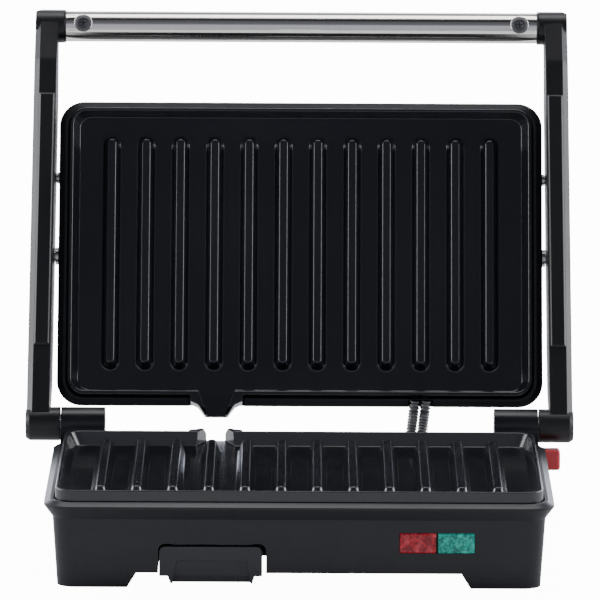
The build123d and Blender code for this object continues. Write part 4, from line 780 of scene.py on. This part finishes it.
@dataclass
class Workshop:
    """What every sub-assembly shares: finishes and repeat trees.

    Attributes:
        finishes: Material for each slot of the record.
        row: Tree that repeats along a row.
        places: Tree that copies to places.
        sleeve: Tree that covers a path with rings.
    """

    finishes: dict[str, bpy.types.Material] = field(default_factory=dict)
    row: RepeatTree = field(init=False)
    places: RepeatTree = field(init=False)
    sleeve: RepeatTree = field(init=False)

    def __post_init__(self) -> None:
        """Builds the materials and the repeat trees."""
        effects = SurfaceEffects()
        self.finishes = {finish.name: finish.build(effects) for finish in FINISHES}
        self.row = RepeatTree(Form.ROW)
        self.places = RepeatTree(Form.PLACES)
        self.sleeve = RepeatTree(Form.SLEEVE)

    def settle(self, obj: Object, slot: str, body: Body | None, *nodes: str) -> Object:
        """Gives a piece its finish, its body and the nodes that it stands for.

        Args:
            obj: The piece.
            slot: The record's slot for its finish.
            body: The body that it rides on, or None to leave it unattached.
            *nodes: The CAD nodes that it replaces.

        Returns:
            The piece.
        """
        obj.data.materials.clear()
        obj.data.materials.append(self.finishes[slot])
        if body is not None:
            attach(obj, body.value)
        if nodes:
            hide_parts(*nodes)
        log.info("piece %s: %d faces", obj.name, len(obj.data.polygons))
        return obj

    def rounded_copy(self, node: str, slot: str, body: Body, width: float, segments: int = 2) -> Object:
        """Stands a copy with rounded edges in for a CAD node.

        Args:
            node: The node's name.
            slot: The record's slot for its finish.
            body: The body that it rides on.
            width: Width of the rounding, in metres.
            segments: Faces across the rounding.

        Returns:
            The new piece.
        """
        mesh = rounded(merged_mesh(node), f"{node}_rounded", width, segments)
        return self.settle(linked(f"{node}_rounded", mesh), slot, body, node)

    def copies(
        self, one: Object, middles: Sequence[Point], name: str, slot: str, body: Body, node: str
    ) -> None:
        """Stands copies of a piece in for a CAD node.

        Args:
            one: The piece, about the origin, which is removed.
            middles: Where each copy goes.
            name: The new piece's name.
            slot: The record's slot for its finish.
            body: The body that it rides on.
            node: The node's name.
        """
        points = bpy.data.meshes.new(f"{name}_places")
        points.from_pydata(middles, [], [])
        mesh = self.places.apply(linked(points.name, points), Piece=one, Finish=self.finishes[slot])
        bpy.data.objects.remove(one)
        self.settle(linked(name, mesh), slot, body, node)

    def dress_nodes(self) -> None:
        """Gives every CAD node its slot's finish."""
        for name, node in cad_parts.items():
            for holder in node.material_slots:
                slot = holder.material.name.split(".")[0]
                holder.material = self.finishes.get(slot, holder.material)
            log.info("node %s dressed", name)


@dataclass
class Assembly:
    """A sub-assembly of the press.

    Attributes:
        shop: The shared finishes and trees.
    """

    shop: Workshop


@dataclass
class Casework(Assembly):
    """The base and lid mouldings, the tray and the button.

    Attributes:
        edge: Width of the rounding on large mouldings.
        small_edge: Width of the rounding on small pieces.
    """

    edge: float = 0.45 * MM
    small_edge: float = 0.25 * MM

    def build(self) -> None:
        """Makes the mouldings."""
        for node, body in (("lid_frame", Body.LID), ("lid_cover", Body.LID), ("drip_tray", Body.TRAY)):
            piece = self.shop.rounded_copy(node, "case_plastic", body, self.small_edge)
            # The lid frame and the tray take the lighter satin copy, whose raised colour is painted light on their
            # sides and fronts.
            if node != "lid_cover":
                piece.data.materials[0] = self.shop.finishes["case_satin"]
        for node in ("base_bottom_cover", "cord_gland"):
            self.shop.rounded_copy(node, "cover_plastic", Body.BASE, self.small_edge)
        self.shop.rounded_copy("release_button", "red_button", Body.BUTTON, self.edge)
        for lamp, slot in (("power", "red_lens"), ("ready", "green_lens")):
            self.shop.rounded_copy(f"{lamp}_lamp_lens", slot, Body.BASE, self.small_edge, 3)
        self.spring()

    def spring(self, travel: float = 4.0 * MM) -> None:
        """Makes the button's spring, which rides on the base.

        Args:
            travel: How far the button moves; not used.
        """
        mesh = plain_mesh(merged_mesh("button_spring"), "return_spring")
        piece = self.shop.settle(linked("return_spring", mesh), "bright_steel", Body.BASE, "button_spring")
        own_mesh(piece)


@dataclass
class HandleFrame(Assembly):
    """The two arms, their strips, the tube, its plugs and screws.

    Attributes:
        edge: Width of the rounding along the arms.
        tube_edge: Width of the rounding on the tube's dimples.
        screw_edge: Width of the rounding on the screws.
        screw_depth: From a screw's outer end in to the point that it is copied by.
    """

    edge: float = 0.25 * MM
    tube_edge: float = 0.3 * MM
    screw_edge: float = 0.12 * MM
    screw_depth: float = 3.3 * MM

    def build(self) -> None:
        """Makes the handle frame's pieces."""
        for side in ("left", "right"):
            self.shop.rounded_copy(f"arm_{side}", "arm_plastic", Body.HANDLE, self.edge)
            self.shop.rounded_copy(f"arm_strip_{side}", "arm_plastic", Body.HANDLE, self.edge)
        self.shop.rounded_copy("handle_end_plugs", "arm_plastic", Body.HANDLE, self.tube_edge)
        self.shop.rounded_copy("handle_tube", "stainless", Body.HANDLE, self.tube_edge)
        self.screws()

    def screws(self) -> None:
        """Copies one handle screw to both ends of the tube."""
        low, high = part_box("handle_screws")
        shape = merged_mesh("handle_screws")
        middle = (low.x + high.x) / 2
        bmesh.ops.delete(shape, geom=[v for v in shape.verts if v.co.x < middle], context="VERTS")
        reach = high.x - self.screw_depth
        bmesh.ops.translate(shape, verts=shape.verts, vec=Vector((-reach, 0.0, 0.0)))
        one = linked("one_handle_screw", rounded(shape, "one_handle_screw", self.screw_edge))
        middles = [(-reach, 0.0, 0.0), (reach, 0.0, 0.0)]
        self.shop.copies(one, middles, "handle_screw_pair", "dark_screw", Body.HANDLE, "handle_screws")


@dataclass
class GrillPlates(Assembly):
    """The two ribbed plates: one casting, the upper its mirror image.

    Attributes:
        ribs: Number of ribs.
        pitch: Distance between ribs.
        half_length: Half of a rib's length at its foot.
        foot: Half of a rib's width at its foot.
        floor: Height of the plate's floor.
        middle: Where the plate's middle is, front to back.
        profile: Steps from foot to crest, each an inset and a height.
        bend_points: Points round each end of a rib.
        hinge: Where the hinge line is, front to back and in height.
        margin: How far past the ribs their CAD faces may reach.
        clear: How far above the floor their CAD faces start.
        edge: Width of the rounding on the pan.
    """

    ribs: int = 12
    pitch: float = 17.95 * MM
    half_length: float = 63.0 * MM
    foot: float = 5.3 * MM
    floor: float = 42.8 * MM
    middle: float = -57.658 * MM
    profile: tuple[tuple[float, float], ...] = (
        (0.0, -0.5), (0.0, 0.0), (0.40, 0.07), (0.80, 0.27), (1.18, 0.62), (1.50, 1.15), (1.75, 1.85), (2.30, 3.60),
        (2.85, 5.20), (3.08, 5.70), (3.45, 6.02), (3.90, 6.16), (4.30, 6.20),
    )
    bend_points: int = 13
    hinge: tuple[float, float] = (35.942 * MM, 50.0 * MM)
    margin: float = 0.6 * MM
    clear: float = 0.03 * MM
    edge: float = 0.5 * MM

    def rib_loop(self, inset: float) -> list[tuple[float, float]]:
        """Gives the outline of a rib at one height.

        Args:
            inset: How far the outline is inside the foot.

        Returns:
            Points across and along the rib, going round it once.
        """
        wide, long = self.foot - inset, self.half_length - inset
        points = []
        for start, side in ((0.0, 1.0), (math.pi, -1.0)):
            for step in range(self.bend_points):
                turn = start + math.pi * step / (self.bend_points - 1)
                points.append((wide * math.cos(turn), side * (long - wide) + wide * math.sin(turn)))
        return points

    def rib(self) -> Mesh:
        """Makes one closed rib about the middle of the plate.

        Returns:
            The rib's mesh.
        """
        shape = bmesh.new()
        loops = []
        for inset, height in self.profile:
            outline = self.rib_loop(inset * MM)
            loops.append([shape.verts.new((x, self.middle + y, self.floor + height * MM)) for x, y in outline])
        for lower, upper in zip(loops, loops[1:]):
            for k in range(len(lower)):
                n = (k + 1) % len(lower)
                shape.faces.new((lower[k], lower[n], upper[n], upper[k]))
        shape.faces.new(loops[-1])
        shape.faces.new(list(reversed(loops[0])))
        bmesh.ops.recalc_face_normals(shape, faces=shape.faces)
        return plain_mesh(shape, "rib")

    def pan(self) -> Mesh:
        """Makes the plate without its ribs.

        Returns:
            The plate's mesh with rounded edges.
        """
        shape = merged_mesh("lower_grill_plate")
        reach = (self.ribs - 1) / 2 * self.pitch + self.foot + self.margin
        doomed = []
        for face in shape.faces:
            at = face.calc_center_median()
            inside = abs(at.x) < reach and abs(at.y - self.middle) < self.half_length + self.margin
            if inside and at.z > self.floor + self.clear:
                doomed.append(face)
        bmesh.ops.delete(shape, geom=doomed, context="FACES")
        bmesh.ops.holes_fill(shape, edges=[e for e in shape.edges if e.is_boundary], sides=0)
        bmesh.ops.recalc_face_normals(shape, faces=shape.faces)
        return rounded(shape, "plate_pan", self.edge, 3)

    def casting(self) -> BMesh:
        """Joins the pan and its ribs.

        Args:

        Returns:
            The whole casting, as the lower plate.
        """
        ribs = self.shop.row.apply(
            linked("rib_row", self.rib()), Count=self.ribs, First=(-(self.ribs - 1) / 2 * self.pitch, 0.0, 0.0),
            Step=(self.pitch, 0.0, 0.0), Finish=self.shop.finishes["nonstick"],
        )
        whole = bmesh.new()
        whole.from_mesh(self.pan())
        whole.from_mesh(ribs)
        return whole

    def build(self) -> None:
        """Makes both plates."""
        for name, body in (("lower_grill_plate", Body.BASE), ("upper_grill_plate", Body.LID)):
            whole = self.casting()
            if body is Body.LID:
                self.lift(whole)
            mesh = evened(plain_mesh(whole, f"{name}_ribbed"), f"{name}_ribbed")
            self.shop.settle(linked(f"{name}_ribbed", mesh), "nonstick", body, name)
            self.report(mesh, name)

    def lift(self, whole: BMesh, gap: float = 5.6 * MM, lean: float = 22.5) -> None:
        """Mirrors the casting and stands it up as the open lid's plate.

        Args:
            whole: The casting, changed in place.
            gap: Distance between the shut plates' rims.
            lean: Angle of the open plate from upright, in degrees.
        """
        hinge = Vector((0.0, *self.hinge))
        sine, cosine = math.sin(math.radians(lean)), math.cos(math.radians(lean))
        for vert in whole.verts:
            out = hinge.y - vert.co.y
            rise = gap + hinge.z - vert.co.z
            vert.co.y = hinge.y + sine * out + cosine * rise
            vert.co.z = hinge.z + cosine * out - sine * rise
        bmesh.ops.reverse_faces(whole, faces=whole.faces)

    def report(self, mesh: Mesh, node: str) -> None:
        """Logs how far the plate's box is from its CAD node's.

        Args:
            mesh: The plate's mesh.
            node: The CAD node's name.
        """
        low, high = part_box(node)
        for k, axis in enumerate("xyz"):
            reach = [v.co[k] for v in mesh.vertices]
            gap = max(abs(min(reach) - low[k]), abs(max(reach) - high[k])) / MM
            log.info("%s differs from its node by %.2f mm in %s", node, gap, axis)


@dataclass
class CableSleeves(Assembly):
    """Two coiled metal sleeves that carry wires from the base to the lid.

    Attributes:
        base_x: Where each leaves the base.
        lid_x: Where each enters the lid.
        start_y: Front end, inside the base.
        bend_y: Where the bend starts.
        height: Height of the straight run.
        bend: Radius of the bend.
        turn: Angle of the bend, in degrees.
        top: Upper end, back to front and height.
        split: Length of the upper piece.
        radius: Outside radius of a sleeve.
        wire: Radius of the wound wire.
        pitch: Distance between rings.
        bend_steps: Runs round the bend.
        rise_steps: Runs from the bend to the upper end.
    """

    base_x: tuple[float, float] = (55.75 * MM, 61.45 * MM)
    lid_x: tuple[float, float] = (59.95 * MM, 65.65 * MM)
    start_y: float = 14.4 * MM
    bend_y: float = 41.10 * MM
    height: float = 29.0 * MM
    bend: float = 14.0 * MM
    turn: float = 95.25
    top: tuple[float, float] = (53.66 * MM, 59.33 * MM)
    split: float = 6.0 * MM
    radius: float = 2.85 * MM
    wire: float = 0.55 * MM
    pitch: float = 1.55 * MM
    bend_steps: int = 16
    rise_steps: int = 8

    def path(self, side: int) -> list[Vector]:
        """Gives closely spaced points along a sleeve's middle.

        Args:
            side: 0 for the left sleeve and 1 for the right.

        Returns:
            The points, from the base to the lid.
        """
        flat = [(self.start_y, self.height), (self.bend_y, self.height)]
        for step in range(1, self.bend_steps + 1):
            angle = math.radians(self.turn) * step / self.bend_steps
            rise = self.bend * (1 - math.cos(angle))
            flat.append((self.bend_y + self.bend * math.sin(angle), self.height + rise))
        last = flat[-1]
        for step in range(1, self.rise_steps + 1):
            flat.append(tuple(a + (b - a) * step / self.rise_steps for a, b in zip(last, self.top)))
        lengths = [0.0]
        for a, b in zip(flat, flat[1:]):
            lengths.append(lengths[-1] + math.dist(a, b))
        free = lengths[1]
        points = []
        for (y, z), length in zip(flat, lengths):
            share = max(0.0, (length - free) / (lengths[-1] - free))
            points.append(Vector((self.base_x[side] + (self.lid_x[side] - self.base_x[side]) * share, y, z)))
        return points

    def build(self) -> None:
        """Makes both sleeves, each in two pieces."""
        for side, name in enumerate(("left", "right")):
            points = self.path(side)
            cut = next(k for k in range(len(points)) if (points[-1] - points[k]).length < self.split)
            for label, run, bodies, ends in (
                ("lower", points[: cut + 1], (Body.BASE, Body.HANDLE), (points[1], points[cut])),
                ("upper", points[cut:], (Body.HANDLE, Body.LID), (points[cut], points[-1])),
            ):
                mesh = bpy.data.meshes.new("sleeve_path")
                mesh.from_pydata([tuple(p) for p in run], [(k, k + 1) for k in range(len(run) - 1)], [])
                made = self.shop.sleeve.apply(
                    linked("sleeve_path", mesh), Ring_Radius=self.radius - self.wire, Wire_Radius=self.wire,
                    Pitch=self.pitch, Finish=self.shop.finishes["conduit_steel"],
                )
                made.shade_smooth()
                piece = linked(f"cable_sleeve_{name}_{label}", made)
                self.shop.settle(piece, "conduit_steel", None, f"conduit_{name}")
                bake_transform(piece)


@dataclass
class Feet(Assembly):
    """The rubber pads under the press.

    Attributes:
        edge: Width of the rounding of a pad.
    """

    edge: float = 0.4 * MM

    def build(self) -> None:
        """Makes one pad and copies it to the four places."""
        shape = merged_mesh("foot_pads")
        pads, met = [], set()
        for seed in shape.verts:
            if seed in met:
                continue
            met.add(seed)
            pad = [seed]
            for vert in pad:
                for edge in vert.link_edges:
                    other = edge.other_vert(vert)
                    if other not in met:
                        met.add(other)
                        pad.append(other)
            pads.append(pad)
        middles = sorted(tuple(sum((v.co for v in pad), Vector()) / len(pad)) for pad in pads)
        home = min(pads, key=lambda pad: min(v.co.x for v in pad))
        centre = sum((v.co for v in home), Vector()) / len(home)
        bmesh.ops.delete(shape, geom=[v for v in shape.verts if v not in home], context="VERTS")
        bmesh.ops.translate(shape, verts=shape.verts, vec=-centre)
        one = linked("one_pad", rounded(shape, "one_pad", self.edge, 3))
        self.shop.copies(one, middles, "rubber_feet", "black_rubber", Body.BASE, "foot_pads")


# ---- the studio


def facing(place: Point, target: Point, roll: float = 0.0) -> Matrix:
    """Places a camera or a light.

    Args:
        place: Where it stands.
        target: The point that it faces.
        roll: Its turn about its own line of sight.

    Returns:
        Its matrix.
    """
    look = (Vector(target) - Vector(place)).to_track_quat("-Z", "Y").to_matrix().to_4x4()
    return Matrix.Translation(place) @ look @ Matrix.Rotation(roll, 4, "Z")


def seen_apart(kit: Tree, plain: Socket, seen: Socket) -> Socket:
    """Gives the camera one shader and everything else another.

    Args:
        kit: The tree.
        plain: The shader that lights and reflects.
        seen: The shader that the camera sees.

    Returns:
        The mixed shader's socket.
    """
    ray = kit.add("ShaderNodeLightPath").outputs["Is Camera Ray"]
    return kit.add("ShaderNodeMixShader", {0: ray, 1: plain, 2: seen}).outputs[0]


@dataclass(frozen=True)
class Panel:
    """A soft rectangular light.

    Attributes:
        name: The light's name.
        place: Where it stands.
        wide: Its width.
        high: Its height.
        power: Its power, in watts.
    """

    name: str
    place: Point
    wide: float
    high: float
    power: float

    def build(self, target: Point) -> None:
        """Makes the light, facing a point."""
        data = bpy.data.lights.new(self.name, "AREA")
        data.shape, data.size, data.size_y, data.energy = "RECTANGLE", self.wide, self.high, self.power
        linked(self.name, data).matrix_world = facing(self.place, target)


@dataclass
class Studio:
    """Camera, lights, surroundings and floor.

    Attributes:
        lens: Focal length, in millimetres.
        sensor: Width of the sensor, in millimetres.
        eye: Where the camera is.
        aim: The point that it looks at.
        roll: Turn of the camera about its own line of sight.
        white: Brightness of the surroundings as the camera sees them.
        around: Brightness of the surroundings as the press sees them.
        bands: Shades of the surroundings from the ground up, each a height and a brightness.
        tint: Colour of the bands.
        ground: Colour straight below.
        heart: The point that the lights face.
        panels: The lights.
    """

    lens: float = 417.45
    sensor: float = 36.0
    eye: Point = (0.0, -3.4959, 0.7457)
    aim: Point = (-0.00005, 0.0, 0.12195)
    roll: float = 0.0047
    white: float = 16.0
    around: float = 0.9
    bands: tuple[tuple[float, float], ...] = (
        (0.50, 1.0), (0.68, 1.0), (0.75, 0.30), (0.89, 0.22), (0.93, 0.02), (0.975, 0.02), (0.99, 0.40), (1.0, 0.45),
    )
    tint: Colour = (0.90, 0.95, 1.12)
    ground: Colour = (0.50, 0.52, 0.62)
    heart: Point = (0.0, 0.0, 0.1)
    panels: tuple[Panel, ...] = (
        Panel("left_panel", (-1.6, 0.10, 0.50), 1.1, 0.9, 22.0),
        Panel("right_panel", (1.6, 0.10, 0.50), 1.1, 0.9, 22.0),
        Panel("top_panel", (0.0, 0.35, 1.7), 1.6, 0.9, 16.0),
        Panel("back_panel", (0.0, 1.9, 0.8), 2.0, 1.0, 12.0),
    )

    def build(self) -> None:
        """Makes the studio."""
        self.camera()
        self.surroundings()
        self.floor()
        for panel in self.panels:
            panel.build(self.heart)

    def camera(self) -> None:
        """Places the camera."""
        data = bpy.data.cameras.new("camera")
        data.lens, data.sensor_width, data.clip_end = self.lens, self.sensor, 100.0
        obj = linked("camera", data)
        obj.matrix_world = facing(self.eye, self.aim, self.roll)
        bpy.context.scene.camera = obj

    def surroundings(self) -> None:
        """Makes a white room for the camera and a softer one for reflections."""
        world = bpy.data.worlds.new("studio")
        bpy.context.scene.world = world
        world.use_nodes = True
        kit = Tree(world.node_tree)
        kit.tree.nodes.clear()
        parts = kit.add("ShaderNodeSeparateXYZ", {0: kit.add("ShaderNodeTexCoord").outputs["Generated"]})
        height = kit.maths("MULTIPLY_ADD", parts.outputs[2], 0.5, 0.5)
        bands = kit.add("ShaderNodeValToRGB", {0: height})
        stops = bands.color_ramp.elements
        for place, shade in self.bands:
            stops.new(place).color = (*(part * shade for part in self.tint), 1.0)
        stops[0].color = (*self.ground, 1.0)
        behind = kit.span(parts.outputs[1], -0.5, 0.35, 0.62, 2.4)
        strength = kit.maths("MULTIPLY", behind, self.around)
        given = kit.add("ShaderNodeBackground", {"Color": bands.outputs[0], "Strength": strength}).outputs[0]
        seen = kit.add("ShaderNodeBackground", {"Color": (1.0, 1.0, 1.0), "Strength": self.white}).outputs[0]
        kit.add("ShaderNodeOutputWorld", {0: seen_apart(kit, given, seen)})

    def floor(self, half: float = 14.0, grey: float = 0.86, share: float = 0.8) -> None:
        """Makes the pale floor.

        Args:
            half: Half of the floor's width.
            grey: Its lightness.
            share: Its glow for the camera, as a share of the surroundings'.
        """
        mesh = bpy.data.meshes.new("floor")
        corners = [(-half, -half, 0), (half, -half, 0), (half, half, 0), (-half, half, 0)]
        mesh.from_pydata(corners, [], [(0, 1, 2, 3)])
        material = bpy.data.materials.new("pale_floor")
        material.use_nodes = True
        kit = Tree(material.node_tree)
        main = kit.first("BSDF_PRINCIPLED")
        kit.feed(main, {"Base Color": (grey, grey, grey), "Roughness": 0.9})
        glow = kit.add("ShaderNodeEmission", {"Strength": self.white * share}).outputs[0]
        both = kit.add("ShaderNodeAddShader", {0: main.outputs[0], 1: glow}).outputs[0]
        kit.feed(kit.first("OUTPUT_MATERIAL"), {0: seen_apart(kit, main.outputs[0], both)})
        mesh.materials.append(material)
        linked("floor", mesh)


def main() -> None:
    """Builds the press and its studio."""
    logging.basicConfig(level=logging.INFO, format="%(message)s")
    shop = Workshop()
    Studio().build()
    shop.dress_nodes()
    for kind in (Casework, HandleFrame, GrillPlates, CableSleeves, Feet):
        kind(shop).build()
        log.info("%s built", kind.__name__)
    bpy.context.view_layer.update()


if __name__ == "__main__":
    main()
